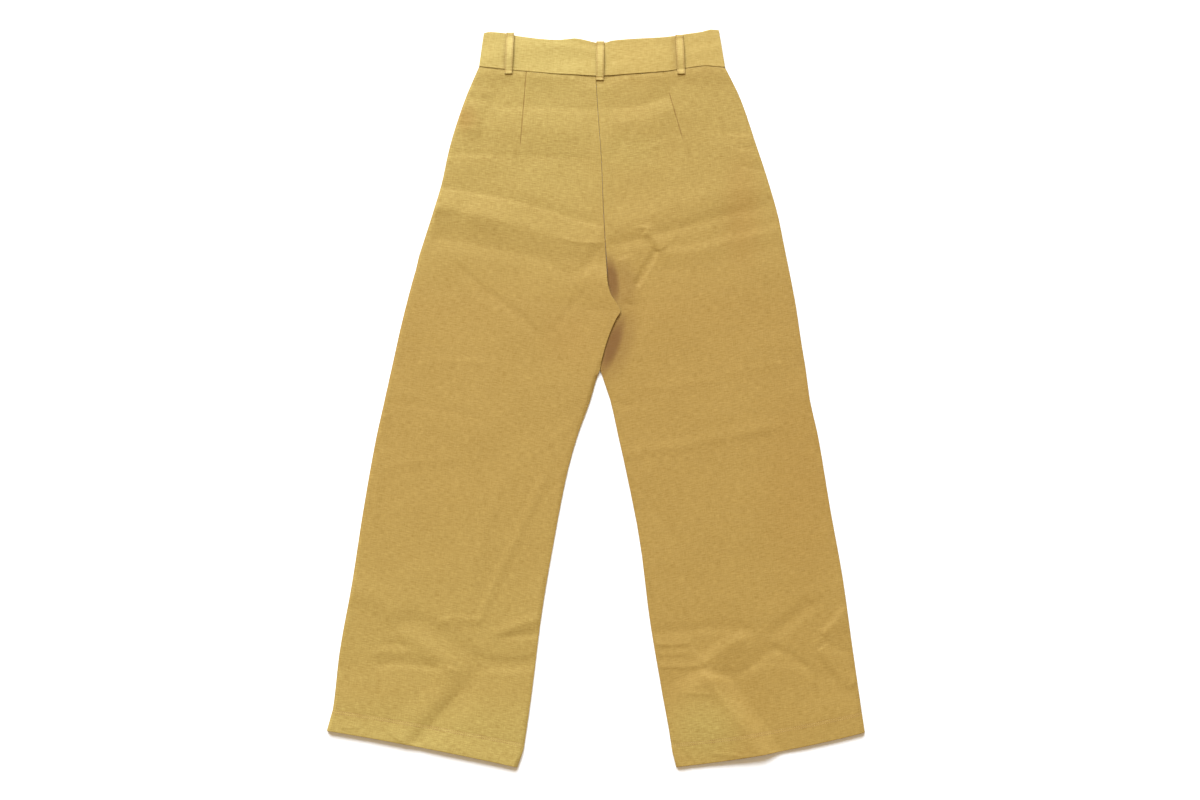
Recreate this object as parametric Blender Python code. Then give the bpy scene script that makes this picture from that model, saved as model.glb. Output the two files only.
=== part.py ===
"""Straight-leg linen trousers laid flat on a surface, back uppermost.

+Y runs to the waist, +X to the wearer's right and +Z up. The fronts rest on z = 0 and
the backs lie on them. Tables and heights are in millimetres, meshes in metres.
"""
from collections import namedtuple
import math

import bpy
import numpy as np

MM = 0.001

# Driving sizes, mm.
CLOTH = 1.2             # one wall of linen with its turnings
HEM_WALL = 2.0          # the wall where the hem is turned up
BAND_WALL = 1.8         # the folded and stiffened waistband
GAP = 0.3               # clear space between pieces that touch
SEAM = 0.35             # clear space between pieces joined edge to edge
LOFT = 1.3              # how far a back stands off its front away from the seams
WAIST_LOFT = 0.5        # the same at the waist seam
HEM_LOFT = 0.5          # the same at the hem
EDGE_ROLL = 26.0        # width over which a back comes down to its side seam
CREASE_FADE = 22.0      # length over which a crease dies away at each end
LOOP_WIDTH = 11.0
LOOP_WALL = 1.3
LOOP_CLEAR = 2.3        # room for a belt under a loop
LOOP_TAB = 7.0          # length of each turned-under end
TAB_WALL = 2.2
FLAT_LOOP = 1.2         # a loop pressed flat under the front waistband
ZIP_WALL = 1.0
ZIP_WIDTH = 11.0
ZIP_INSET = 1.0         # the tape lies just inside the side seam
ZIP_END_Y = 278.0       # lower end of the side zip
LAP_TOP_Y = 175.0       # where the centre-back seam gives way to the lapped crotch
LAP_LOW_Y = 41.0        # top of the gap between the legs
LAP_RISE = 1.5          # cloth and gap that the lapped edge has to clear
LAP_HOLD = 30.0         # width of the lapped edge that stands at its full rise
LAP_SLOPE = 45.0        # width over which the leg comes up to it

LINEN_COLOUR = (0.58, 0.38, 0.12)
ZIP_COLOUR = (0.50, 0.33, 0.12)

# One row for each station down a leg: the outer seam's point, the inner seam's point,
# how far the line between them bows upwards, and the mesh rows down to the next station.
Section = namedtuple("Section", "name out_x out_y in_x in_y bow cells")
LEFT_LEG = [
    Section("waist", -163.7, 464.1, 0.0, 452.2, 0.0, 3),
    Section("upper dart", -184.1, 416.5, 2.9, 401.5, 0.0, 5),
    Section("lower dart", -204.8, 352.0, 7.9, 332.7, 0.0, 4),
    Section("high hip", -216.3, 300.3, 10.1, 276.9, 0.0, 5),
    Section("hip", -231.7, 249.9, 12.9, 222.0, 0.0, 4),
    Section("seat", -245.5, 207.0, 15.7, 176.0, 0.0, 1),
    Section("lap start", -248.0, 199.0, 16.3, 166.0, 0.0, 2),
    Section("lap upper", -252.2, 181.0, 21.0, 146.3, 0.0, 1),
    Section("lap shoulder", -255.0, 171.3, 28.7, 134.3, 0.0, 1),
    Section("crotch point", -257.8, 161.5, 34.6, 122.5, 0.0, 1),
    Section("under point", -260.6, 150.9, 28.9, 112.0, 0.0, 2),
    Section("lap middle", -265.0, 134.0, 21.0, 94.5, 0.0, 2),
    Section("lap lower", -270.4, 112.5, 13.3, 72.1, 0.0, 2),
    Section("lap end", -275.8, 89.7, 7.3, 48.3, 0.0, 1),
    Section("leg gap", -277.7, 81.0, 6.0, 41.0, 0.0, 1),
    Section("gap side", -279.3, 73.6, 2.1, 31.5, 0.0, 2),
    Section("high thigh", -286.4, 41.4, -7.7, -2.1, 0.0, 3),
    Section("thigh", -297.6, -8.9, -25.9, -52.5, 0.0, 2),
    Section("low thigh", -308.5, -58.5, -39.9, -102.9, 0.0, 3),
    Section("knee", -326.3, -158.9, -59.5, -203.7, 0.0, 4),
    Section("calf", -341.7, -258.4, -76.3, -304.5, 0.0, 8),
    Section("ankle", -359.3, -356.5, -88.9, -405.3, 0.0, 6),
    Section("hem line", -369.0, -437.0, -100.1, -484.5, 2.0, 1),
    Section("hem step", -370.0, -440.5, -100.7, -488.0, 2.0, 2),
    Section("hem", -377.0, -465.5, -109.9, -517.0, 2.0, 0),
]
RIGHT_LEG = [
    Section("waist", 181.3, 463.3, 0.3, 452.2, 0.0, 3),
    Section("upper dart", 202.7, 420.0, 3.2, 401.5, 0.0, 5),
    Section("lower dart", 224.7, 356.0, 8.2, 332.7, 0.0, 4),
    Section("high hip", 241.5, 304.9, 10.4, 276.9, 0.0, 5),
    Section("hip", 255.9, 253.9, 13.2, 222.0, 0.0, 4),
    Section("seat", 264.5, 211.5, 16.0, 176.0, 0.0, 5),
    Section("tucked edge", 273.1, 169.0, 14.5, 130.0, 0.0, 4),
    Section("tucked end", 280.8, 127.9, 12.0, 85.0, 0.0, 4),
    Section("leg gap", 286.7, 87.7, 6.3, 41.0, 0.0, 1),
    Section("gap side", 288.0, 79.0, 9.1, 31.5, 0.0, 1),
    Section("gap curve", 290.6, 63.1, 14.7, 14.7, 0.0, 1),
    Section("high thigh", 293.4, 46.7, 20.3, -2.1, 0.0, 3),
    Section("thigh", 300.3, -2.5, 31.5, -52.5, 0.0, 2),
    Section("low thigh", 311.5, -52.7, 42.7, -102.9, 0.0, 3),
    Section("knee", 328.3, -152.7, 62.3, -203.7, 0.0, 4),
    Section("calf", 346.2, -252.3, 74.9, -304.5, 0.0, 8),
    Section("ankle", 360.3, -353.1, 91.7, -405.3, 0.0, 6),
    Section("hem line", 372.9, -440.0, 105.6, -484.5, -5.0, 1),
    Section("hem step", 373.4, -443.5, 106.0, -488.0, -5.0, 2),
    Section("hem", 377.0, -468.0, 112.7, -516.5, -5.0, 0),
]
# The fronts meet edge to edge where the backs lap, so these stations take a plain edge.
LAPPED = {"lap start", "lap upper", "lap shoulder", "crotch point", "under point",
          "lap middle", "lap lower", "lap end"}

# The waistband from side to side: a point on the waist seam and one on the top edge.
BandSection = namedtuple("BandSection", "name seam_x seam_y top_x top_y cells")
WAISTBAND = [
    BandSection("left side", -163.7, 465.0, -156.5, 511.2, 3),
    BandSection("left loop", -122.0, 460.6, -119.0, 511.7, 5),
    BandSection("left back", -46.9, 454.3, -41.3, 502.6, 2),
    BandSection("rise in the edge", -33.0, 453.7, -30.1, 504.3, 3),
    BandSection("centre", 6.0, 451.9, 9.1, 499.4, 3),
    BandSection("right back", 44.0, 454.3, 44.1, 502.2, 4),
    BandSection("right inner", 97.0, 458.2, 95.0, 506.0, 3),
    BandSection("right loop", 132.3, 463.6, 128.0, 511.2, 3),
    BandSection("right shoulder", 156.0, 466.2, 151.0, 515.4, 2),
    BandSection("right side", 181.3, 464.2, 172.5, 516.6, 0),
]
BAND_ROWS = 4
BACK_COLUMNS = 16
FRONT_COLUMNS = 14
FRONT_BAND_DROP = 1.5   # the hidden front edge lies just inside the back's

BAND_LOFT = 0.3         # how far the back waistband stands off the front one
BAND_ROLL = 22.0        # width over which it comes down at both sides
WAIST_SPREAD = 46.0     # how far below the seam the band's swells still show

# A swell in the waistband, across its length: place, height and half width.
Swell = namedtuple("Swell", "name x rise half")
BAND_SWELLS = [
    Swell("left of the centre loop", -46.0, 1.1, 40.0),
    Swell("right of the centre loop", 58.0, 0.9, 42.0),
    Swell("by the right side", 142.0, 0.5, 26.0),
]

# Creases in the backs: a line from start to end, its bow to the left of that way, its
# rise (a trough is negative), and the width of its slope on the left and on the right.
Crease = namedtuple("Crease", "name x0 y0 x1 y1 bow rise left right")
CREASES = [
    Crease("left seat dip", -172.0, 410.0, 8.0, 409.0, 0.0, -0.9, 18.0, 18.0),
    Crease("left seat ridge", -168.0, 375.0, 10.0, 374.0, 2.0, 0.9, 20.0, 24.0),
    Crease("right seat dip", 0.0, 408.0, 104.0, 414.0, 0.0, -0.8, 16.0, 16.0),
    Crease("right seat ridge", 6.0, 386.0, 106.0, 390.0, 0.0, 0.9, 16.0, 24.0),
    Crease("left side pucker", -208.0, 336.0, -146.0, 341.0, 0.0, 0.9, 14.0, 16.0),
    Crease("left hip trough", -214.0, 298.0, 10.0, 242.0, 0.0, -0.8, 22.0, 16.0),
    Crease("left hip fold", -238.0, 273.0, 14.0, 211.0, 0.0, 2.3, 28.0, 32.0),
    Crease("right upper fold", 10.0, 232.0, 244.0, 305.0, 0.0, 1.5, 32.0, 24.0),
    Crease("right hip trough", 16.0, 213.0, 244.0, 268.0, 0.0, -1.1, 20.0, 20.0),
    Crease("right lower fold", 70.0, 200.0, 264.0, 242.0, 0.0, 1.7, 26.0, 20.0),
    Crease("left thigh line", -200.0, 196.0, -82.0, 104.0, 0.0, -0.6, 18.0, 18.0),
    Crease("right fold mark", 44.0, -79.0, 240.0, -40.0, 0.0, 0.9, 22.0, 14.0),
    Crease("left knee fold", -73.0, -108.0, -142.0, -258.0, 0.0, 1.2, 24.0, 28.0),
    Crease("left ankle fold", -195.0, -372.0, -276.0, -486.0, 0.0, 2.0, 24.0, 28.0),
    Crease("left ankle trough", -158.0, -371.0, -232.0, -318.0, 0.0, -1.2, 16.0, 16.0),
    Crease("left ankle swell", -198.0, -355.0, -268.0, -336.0, 0.0, 1.1, 16.0, 16.0),
    Crease("left ankle level", -166.0, -369.0, -82.0, -366.0, 0.0, -1.0, 14.0, 14.0),
    Crease("left inner tuck", -138.0, -331.0, -78.0, -312.0, 0.0, 1.3, 14.0, 16.0),
    Crease("right ankle fold", 186.0, -380.0, 262.0, -498.0, 0.0, 2.1, 22.0, 28.0),
    Crease("right ankle ridge", 146.0, -378.0, 222.0, -332.0, 0.0, 1.3, 18.0, 18.0),
    Crease("right ankle trough", 192.0, -388.0, 304.0, -285.0, 0.0, -1.1, 16.0, 16.0),
    Crease("right ankle level", 84.0, -326.0, 220.0, -326.0, 0.0, -0.9, 14.0, 18.0),
    Crease("right ankle bow", 200.0, -386.0, 312.0, -406.0, 8.0, 1.0, 18.0, 16.0),
    Crease("right outer ridge", 310.0, -350.0, 362.0, -403.0, 0.0, 0.9, 16.0, 14.0),
]

# Where the lapped crotch edge stands away from the leg below it.
Arch = namedtuple("Arch", "name x y rise reach")
LAP_ARCHES = [
    Arch("above the crotch point", 20.0, 157.0, 4.6, 34.0),
    Arch("below the crotch point", 18.0, 80.0, 5.0, 40.0),
]

# Belt loops on the back: their middle line's top and lower end.
Loop = namedtuple("Loop", "name top_x top_y low_x low_y")
BACK_LOOPS = [
    Loop("loop_back_left", -119.7, 511.2, -122.5, 453.6),
    Loop("loop_back_centre", 6.3, 498.9, 5.6, 444.6),
    Loop("loop_back_right", 116.9, 508.4, 119.7, 453.4),
]
FRONT_LOOPS = {"loop_front_left": -82.0, "loop_front_right": 88.0}


def ease(value):
    """0 below 0, 1 above 1 and a smooth step between."""
    held = np.clip(value, 0.0, 1.0)
    return held * held * (3.0 - 2.0 * held)


def through(knots, values, at):
    """A smooth curve through the values, without overshoot between two of them."""
    knots = np.asarray(knots, float)
    values = np.asarray(values, float)
    step = np.diff(knots)
    rate = np.diff(values) / step
    slope = np.zeros_like(values)
    for i in range(1, len(values) - 1):
        if rate[i - 1] * rate[i] > 0:
            slope[i] = 2.0 / (1.0 / rate[i - 1] + 1.0 / rate[i])
    slope[0], slope[-1] = rate[0], rate[-1]
    at = np.asarray(at, float)
    i = np.clip(np.searchsorted(knots, at, side="right") - 1, 0, len(step) - 1)
    f = (at - knots[i]) / step[i]
    return (values[i] * (1 + 2 * f) * (1 - f) ** 2 + step[i] * slope[i] * f * (1 - f) ** 2
            + values[i + 1] * f * f * (3 - 2 * f) - step[i] * slope[i + 1] * f * f * (1 - f))


def stations(sections, finer=1):
    """Knots along a table by length, and the places of all mesh rows between them."""
    ends = [((a[1] + a[3]) / 2, (a[2] + a[4]) / 2) for a in sections]
    knots = [0.0]
    for (xa, ya), (xb, yb) in zip(ends, ends[1:]):
        knots.append(knots[-1] + math.hypot(xb - xa, yb - ya))
    rows = []
    for section, low, high in zip(sections, knots, knots[1:]):
        count = max(1, round(section.cells * finer))
        rows.extend(low + (high - low) * k / count for k in range(count))
    rows.append(knots[-1])
    return knots, np.array(rows)


def column(sections, field):
    return [getattr(section, field) for section in sections]


def seam_line(sections, point):
    """One seam of a leg ("out" or "in") as x for a given y."""
    knots, rows = stations(sections, finer=8)
    x = through(knots, column(sections, point + "_x"), rows)
    y = through(knots, column(sections, point + "_y"), rows)
    order = np.argsort(y)
    return lambda at: np.interp(at, y[order], x[order])


OUTER = {"left": seam_line(LEFT_LEG, "out"), "right": seam_line(RIGHT_LEG, "out")}
INNER = {"left": seam_line(LEFT_LEG, "in"), "right": seam_line(RIGHT_LEG, "in")}
LEG = {"left": LEFT_LEG, "right": RIGHT_LEG}
SIGN = {"left": -1.0, "right": 1.0}
WAIST_Y = LEFT_LEG[0].out_y


def waist_seam(x):
    return through(column(WAISTBAND, "seam_x"), column(WAISTBAND, "seam_y"), x)


def band_edge(x):
    return through(column(WAISTBAND, "top_x"), column(WAISTBAND, "top_y"), x)


def hem_share(side, x, y):
    """0 above the hem's stitch line, 1 in the doubled hem below it."""
    line = next(s for s in LEG[side] if s.name == "hem line")
    along = (x - line.out_x) / (line.in_x - line.out_x)
    level = line.out_y + (line.in_y - line.out_y) * along + 4 * line.bow * along * (1 - along)
    return ease((level - y) / 3.5)


def crease_height(x, y):
    """All creases at (x, y): bell-shaped across, dying away at both ends."""
    total = np.zeros_like(x)
    for crease in CREASES:
        dx, dy = crease.x1 - crease.x0, crease.y1 - crease.y0
        length = math.hypot(dx, dy)
        ux, uy = dx / length, dy / length
        along = (x - crease.x0) * ux + (y - crease.y0) * uy
        share = np.clip(along / length, 0.0, 1.0)
        aside = (y - crease.y0) * ux - (x - crease.x0) * uy - 4 * crease.bow * share * (1 - share)
        width = np.where(aside > 0, crease.left, crease.right)
        bell = np.clip(1.0 - (aside / width) ** 2, 0.0, 1.0) ** 2
        ends = ease(along / CREASE_FADE) * ease((length - along) / CREASE_FADE)
        total = total + crease.rise * bell * ends
    return total


def band_swell(x):
    """The waistband's own undulation along its length."""
    total = np.zeros_like(x)
    for swell in BAND_SWELLS:
        total = total + swell.rise * np.clip(1 - ((x - swell.x) / swell.half) ** 2, 0, 1) ** 2
    return total


def loop_lift(x):
    """How far a flat front loop lifts the front waistband off the surface."""
    total = np.zeros_like(x)
    for middle in FRONT_LOOPS.values():
        away = np.abs(x - middle) - (LOOP_WIDTH / 2 + 2.0)
        total = np.maximum(total, (FLAT_LOOP + GAP) * (1 - ease(away / 18.0)))
    return total


def zip_lift(side, x, y):
    """Room for the zip's tape between the front and the back at the left side."""
    if side != "left":
        return np.zeros_like(x)
    away = np.abs(x - OUTER["left"](np.minimum(y, WAIST_Y)))
    down = ease((y - ZIP_END_Y + 24.0) / 18.0)
    return (ZIP_WALL + GAP) * down * (1 - ease((away - ZIP_WIDTH - 6.0) / 30.0))


def back_floor(side, x, y):
    """The lowest level that a back's underside may reach."""
    hem = (HEM_WALL - CLOTH) * hem_share(side, x, y)
    near_band = (BAND_WALL - CLOTH) * ease((y - 438.0) / 16.0)
    return CLOTH + hem + GAP + zip_lift(side, x, y) + near_band


def back_top(side, x, y):
    """Height of a back's outer face."""
    x = np.asarray(x, float)
    y = np.asarray(y, float)
    wall = CLOTH + (HEM_WALL - CLOTH) * hem_share(side, x, y)
    from_outer = SIGN[side] * (OUTER[side](y) - x)
    from_inner = SIGN[side] * (x - INNER[side](y))
    if side == "left":
        edged = 1 - ease((y - 34.0) / 26.0)
    else:
        edged = 1 - ease((y - 172.0) / 16.0)
    roll = ease(from_outer / EDGE_ROLL) * (1 - edged * (1 - ease(from_inner / EDGE_ROLL)))
    loft = WAIST_LOFT + (LOFT - WAIST_LOFT) * ease((440.0 - y) / 60.0)
    loft = loft + (HEM_LOFT - LOFT) * hem_share(side, x, y + 12.0)
    below_waist = waist_seam(x) - y
    from_waist = 1 - ease(below_waist / WAIST_SPREAD)
    lift = roll * (loft + crease_height(x, y) + band_swell(x) * from_waist)
    floor = back_floor(side, x, y) + wall + loop_lift(x) * from_waist
    soft = 0.25
    top = floor + 0.5 * (lift + np.sqrt(lift * lift + soft * soft)) - soft / 2
    if side == "left":
        top = top + lap_lift(x, y)
    return top


def lap_lift(x, y):
    """How far the left leg's crotch edge stands above the right leg."""
    near = 1 - ease((INNER["left"](y) - x - LAP_HOLD) / LAP_SLOPE)
    span = ease((LAP_TOP_Y + 20.0 - y) / 18.0) * ease((y - LAP_LOW_Y + 26.0) / 24.0)
    total = LAP_RISE * near * span
    for arch in LAP_ARCHES:
        away = np.hypot(x - arch.x, y - arch.y) / arch.reach
        total = total + arch.rise * np.clip(1 - away * away, 0, 1) ** 2
    return total


def lapped_top(x, y):
    """The left back's outer face, kept clear of the right leg where it laps over it."""
    top = back_top("left", x, y)
    inside = np.maximum(x, INNER["right"](y))
    clear = back_top("right", inside, y) + GAP + CLOTH
    lapping = (y < LAP_TOP_Y + 2) & (y > LAP_LOW_Y - 8) & (x > INNER["right"](y) - 14)
    return np.where(lapping, np.maximum(top, clear), top)


def across(count):
    """Places across a panel, closer together towards both edges."""
    even = np.linspace(0.0, 1.0, count + 1)
    return even - 0.55 * np.sin(2 * math.pi * even) / (2 * math.pi)


def leg_grid(sections, count):
    """Points of a leg panel: rows down the stations, columns from outer to inner seam."""
    knots, rows = stations(sections)
    ends = {field: through(knots, column(sections, field), rows)[:, None]
            for field in ("out_x", "out_y", "in_x", "in_y", "bow")}
    u = across(count)[None, :]
    x = ends["out_x"] + (ends["in_x"] - ends["out_x"]) * u
    y = ends["out_y"] + (ends["in_y"] - ends["out_y"]) * u + 4 * ends["bow"] * u * (1 - u)
    straight = ends["out_y"][0, 0] + (ends["in_y"][0, 0] - ends["out_y"][0, 0]) * u
    to_seam = waist_seam(x[:1]) - SEAM - straight
    fade = 1 - ease((rows[:, None] - rows[0]) / 70.0)
    return x, y + to_seam * fade


def plain_edge(sections):
    """A leg table whose lapped stations follow the plain centre line instead."""
    upper = next(s for s in sections if s.name == "seat")
    lower = next(s for s in sections if s.name == "leg gap")
    rows = []
    for section in sections:
        if section.name in LAPPED:
            share = (section.in_y - lower.in_y) / (upper.in_y - lower.in_y)
            edge = lower.in_x + (upper.in_x - lower.in_x) * share
            clear = float(INNER["right"](section.in_y)) - SEAM
            section = section._replace(in_x=min(edge, clear))
        rows.append(section)
    return rows


def thin_rows(sections, most):
    """The same stations with fewer mesh rows between them."""
    return [s._replace(cells=min(s.cells, most) if s.cells else 0) for s in sections]


def solid_between(name, top, bottom, material):
    """One closed body between two grids of points that match row for row."""
    rows, columns = top.shape[:2]
    points = np.concatenate([top.reshape(-1, 3), bottom.reshape(-1, 3)]) * MM
    under = rows * columns

    def at(i, j, layer=0):
        return layer * under + i * columns + j

    faces = []
    for i in range(rows - 1):
        for j in range(columns - 1):
            faces.append((at(i, j), at(i + 1, j), at(i + 1, j + 1), at(i, j + 1)))
            faces.append((at(i, j, 1), at(i, j + 1, 1), at(i + 1, j + 1, 1), at(i + 1, j, 1)))
    rim = [(i, 0) for i in range(rows - 1)]
    rim += [(rows - 1, j) for j in range(columns - 1)]
    rim += [(i, columns - 1) for i in range(rows - 1, 0, -1)]
    rim += [(0, j) for j in range(columns - 1, 0, -1)]
    for (i, j), (k, m) in zip(rim, rim[1:] + rim[:1]):
        faces.append((at(i, j), at(i, j, 1), at(k, m, 1), at(k, m)))
    mesh = bpy.data.meshes.new(name)
    mesh.from_pydata([tuple(point) for point in points], [], faces)
    mesh.update()
    if sum(p.area * p.center.z * p.normal.z for p in mesh.polygons) < 0:
        mesh.flip_normals()
    mesh.materials.append(material)
    mesh.shade_smooth()
    mesh.set_sharp_from_angle(angle=math.radians(50))
    piece = bpy.data.objects.new(name, mesh)
    bpy.context.scene.collection.objects.link(piece)
    return piece


def stack(x, y, z):
    return np.stack([x, y, np.broadcast_to(z, x.shape)], axis=-1)


def cloth_material(name, colour, roughness):
    material = bpy.data.materials.new(name)
    material.use_nodes = True
    shader = material.node_tree.nodes["Principled BSDF"]
    shader.inputs["Base Color"].default_value = (*colour, 1.0)
    shader.inputs["Roughness"].default_value = roughness
    material.diffuse_color = (*colour, 1.0)
    return material


def build_backs(linen):
    for side in ("left", "right"):
        x, y = leg_grid(LEG[side], BACK_COLUMNS)
        top = lapped_top(x, y) if side == "left" else back_top(side, x, y)
        wall = CLOTH + (HEM_WALL - CLOTH) * hem_share(side, x, y)
        solid_between("back_" + side, stack(x, y, top), stack(x, y, top - wall), linen)


def build_fronts(linen):
    for side in ("left", "right"):
        sections = plain_edge(LEG[side]) if side == "left" else LEG[side]
        x, y = leg_grid(thin_rows(sections, 2), FRONT_COLUMNS)
        wall = CLOTH + (HEM_WALL - CLOTH) * hem_share(side, x, y)
        solid_between("front_" + side, stack(x, y, wall), stack(x, y, 0.0), linen)


def band_grid(drop):
    """Points of the waistband: columns from side to side, rows from seam to top edge."""
    knots, places = stations(WAISTBAND)
    ends = {field: through(knots, column(WAISTBAND, field), places)[:, None]
            for field in ("seam_x", "seam_y", "top_x", "top_y")}
    v = np.linspace(0.0, 1.0, BAND_ROWS + 1)[None, :]
    x = ends["seam_x"] + (ends["top_x"] - ends["seam_x"]) * v
    y = ends["seam_y"] + (ends["top_y"] - drop - ends["seam_y"]) * v
    return x, y


def band_top(x, y):
    """Height of the back waistband's outer face."""
    x = np.asarray(x, float)
    y = np.asarray(y, float)
    side = np.minimum(x - WAISTBAND[0].seam_x, WAISTBAND[-1].seam_x - x)
    under = BAND_WALL + loop_lift(x) + GAP + zip_lift("left", x, y)
    return under + BAND_WALL + ease((side + 4.0) / BAND_ROLL) * (BAND_LOFT + band_swell(x))


def build_waistband(linen):
    x, y = band_grid(0.0)
    top = band_top(x, y)
    solid_between("waistband_back", stack(x, y, top), stack(x, y, top - BAND_WALL), linen)

    x, y = band_grid(FRONT_BAND_DROP)
    low = loop_lift(x)
    solid_between("waistband_front", stack(x, y, low + BAND_WALL), stack(x, y, low), linen)


def surface(x, y):
    """The outer face that a back loop lies over: waistband, then panel below the seam."""
    side = "left" if x < 3.0 else "right"
    on_band = float(band_top(x, y))
    return on_band if y > float(waist_seam(x)) - 1.0 else float(back_top(side, x, y))


def build_back_loops(linen):
    """Strips with turned-under ends, arched clear of the waistband between them."""
    shoulders = ((-0.5, 0.4), (-0.39, 0.0), (0.39, 0.0), (0.5, 0.4))
    for loop in BACK_LOOPS:
        length = math.hypot(loop.top_x - loop.low_x, loop.top_y - loop.low_y)
        tab = LOOP_TAB / length
        nick = 0.4 / length
        middle = np.linspace(tab + nick, 1 - tab - nick, 9)
        places = [0.0, tab / 2, tab, *middle, 1 - tab, 1 - tab / 2, 1.0]
        top, bottom = [], []
        for place in places:
            x = loop.top_x + (loop.low_x - loop.top_x) * place
            y = loop.top_y + (loop.low_y - loop.top_y) * place
            base = max(surface(x + reach, y) for reach in (-LOOP_WIDTH / 2, 0.0, LOOP_WIDTH / 2))
            in_tab = place <= tab or place >= 1 - tab
            swell = math.sin(math.pi * (place - tab) / (1 - 2 * tab)) if not in_tab else 0.0
            under = TAB_WALL - LOOP_WALL
            rise = 0.0 if in_tab else under + (LOOP_CLEAR - under) * swell
            wall = TAB_WALL if in_tab else LOOP_WALL
            low = base + GAP + rise
            top.append([(x + s * LOOP_WIDTH, y, low + wall - drop) for s, drop in shoulders])
            bottom.append([(x + s * LOOP_WIDTH, y, low) for s, drop in shoulders])
        solid_between(loop.name, np.array(top), np.array(bottom), linen)


def build_front_loops(linen):
    """The same strips, pressed flat between the front waistband and the surface."""
    for name, middle in FRONT_LOOPS.items():
        low = float(waist_seam(middle)) + 1.2
        high = float(band_edge(middle)) - FRONT_BAND_DROP - 1.0
        width = middle + LOOP_WIDTH * np.linspace(-0.5, 0.5, 3)
        x, y = np.meshgrid(width, np.linspace(low, high, 5), indexing="ij")
        solid_between(name, stack(x, y, FLAT_LOOP), stack(x, y, 0.0), linen)


def build_zip(tape):
    """The tape of the closed side zip, between front and back along the left side."""
    side = WAISTBAND[0]
    slant = (side.top_x - side.seam_x) / (side.top_y - side.seam_y)
    on_band = np.linspace(side.top_y - 2.0, WAIST_Y + 2.0, 4)
    down = np.concatenate([on_band, np.linspace(WAIST_Y - 8.0, ZIP_END_Y, 12)])
    edge = np.where(down > WAIST_Y, side.seam_x + (down - WAIST_Y) * slant, OUTER["left"](down))
    x = edge[:, None] + ZIP_INSET + ZIP_WIDTH * np.linspace(0.0, 1.0, 3)[None, :]
    y = np.broadcast_to(down[:, None], x.shape)
    low = CLOTH + GAP + (BAND_WALL - CLOTH) * ease((y - 440.0) / 14.0)
    solid_between("side_zip", stack(x, y, low + ZIP_WALL), stack(x, y, low), tape)


def build():
    for item in list(bpy.data.objects):
        bpy.data.objects.remove(item, do_unlink=True)
    linen = cloth_material("linen", LINEN_COLOUR, 0.85)
    tape = cloth_material("zip_tape", ZIP_COLOUR, 0.7)
    build_backs(linen)
    build_fronts(linen)
    build_waistband(linen)
    build_back_loops(linen)
    build_front_loops(linen)
    build_zip(tape)


build()
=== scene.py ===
import math
from collections import namedtuple

import bpy
import numpy as np
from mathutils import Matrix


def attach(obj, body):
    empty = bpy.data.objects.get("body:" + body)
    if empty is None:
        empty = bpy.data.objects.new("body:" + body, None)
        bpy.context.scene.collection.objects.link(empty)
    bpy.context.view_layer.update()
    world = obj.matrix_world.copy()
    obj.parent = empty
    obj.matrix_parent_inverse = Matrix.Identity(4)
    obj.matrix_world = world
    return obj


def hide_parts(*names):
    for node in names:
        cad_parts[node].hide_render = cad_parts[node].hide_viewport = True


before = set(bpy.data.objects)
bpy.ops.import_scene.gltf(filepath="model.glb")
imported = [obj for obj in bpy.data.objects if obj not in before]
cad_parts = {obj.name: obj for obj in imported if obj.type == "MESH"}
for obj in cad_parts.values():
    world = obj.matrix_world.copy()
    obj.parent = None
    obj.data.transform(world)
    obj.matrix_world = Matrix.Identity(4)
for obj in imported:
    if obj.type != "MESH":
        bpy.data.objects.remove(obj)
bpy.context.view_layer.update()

# ---------------------------------------------------------------- camera, floor and light
# The trousers lie on a pale table top and are seen from straight above, as in the photo.
# A far broad lamp lights them low from above and a little left, a softbox adds to the
# waist, and the room fills in.
MM = 0.001
PHOTO_WIDE = 1.68                      # metres across the photo at the upper cloth
CLOTH_HIGH = 0.006
CAMERA_HIGH = 3.2
SENSOR_WIDE = 36.0
LOOK_AT = (0.0059, -0.0021)            # the photo's middle, from the middle of the outline
TABLE_WIDE = 7.0
TABLE_WHITE = (0.97, 0.97, 0.97, 1.0)
ROOM = (1.0, 0.775, 0.50)              # the room's light, warmed by the cloth around it
ROOM_POWER = 0.536
BACKDROP = (1.9, 1.9, 1.9)             # what the camera alone sees past the table
LAMPS_AIM_Y = 0.1
Lamp = namedtuple("Lamp", "name kind x y z size power colour")
LAMPS = [
    Lamp("key", "SUN", -0.9, 6.6, 4.1, 0.70, 6.4, (0.75, 0.86, 1.0)),
    Lamp("upper softbox", "AREA", -1.1, 1.7, 1.5, 0.9, 22.0, (1.0, 1.0, 1.0)),
]


def add_object(name, data, spot=(0.0, 0.0, 0.0)):
    """A new object in the scene."""
    added = bpy.data.objects.new(name, data)
    added.location = spot
    bpy.context.scene.collection.objects.link(added)
    return added


def new_material(name):
    """A new material, its node tree and its main shader."""
    material = bpy.data.materials.new(name)
    material.use_nodes = True
    return material, material.node_tree, material.node_tree.nodes["Principled BSDF"]


def fill(tree, node, inputs):
    """Gives each of a node's inputs a value, or a link where it is another node's output."""
    for key, value in inputs.items():
        if isinstance(value, bpy.types.NodeSocket):
            tree.links.new(value, node.inputs[key])
        else:
            node.inputs[key].default_value = value


def add_node(tree, kind, inputs=None, **settings):
    """A new node with these settings and inputs."""
    node = tree.nodes.new(kind)
    for setting, value in settings.items():
        setattr(node, setting, value)
    fill(tree, node, inputs or {})
    return node


def mixed(tree, first, second, share, clamped=True):
    """Two colours mixed, each a plain colour or another node's output."""
    ends = [(*end, 1.0) if isinstance(end, tuple) else end for end in (first, second)]
    mix = add_node(tree, "ShaderNodeMix", {0: share, 6: ends[0], 7: ends[1]},
                   data_type="RGBA", clamp_factor=clamped)
    return mix.outputs[2]


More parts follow.
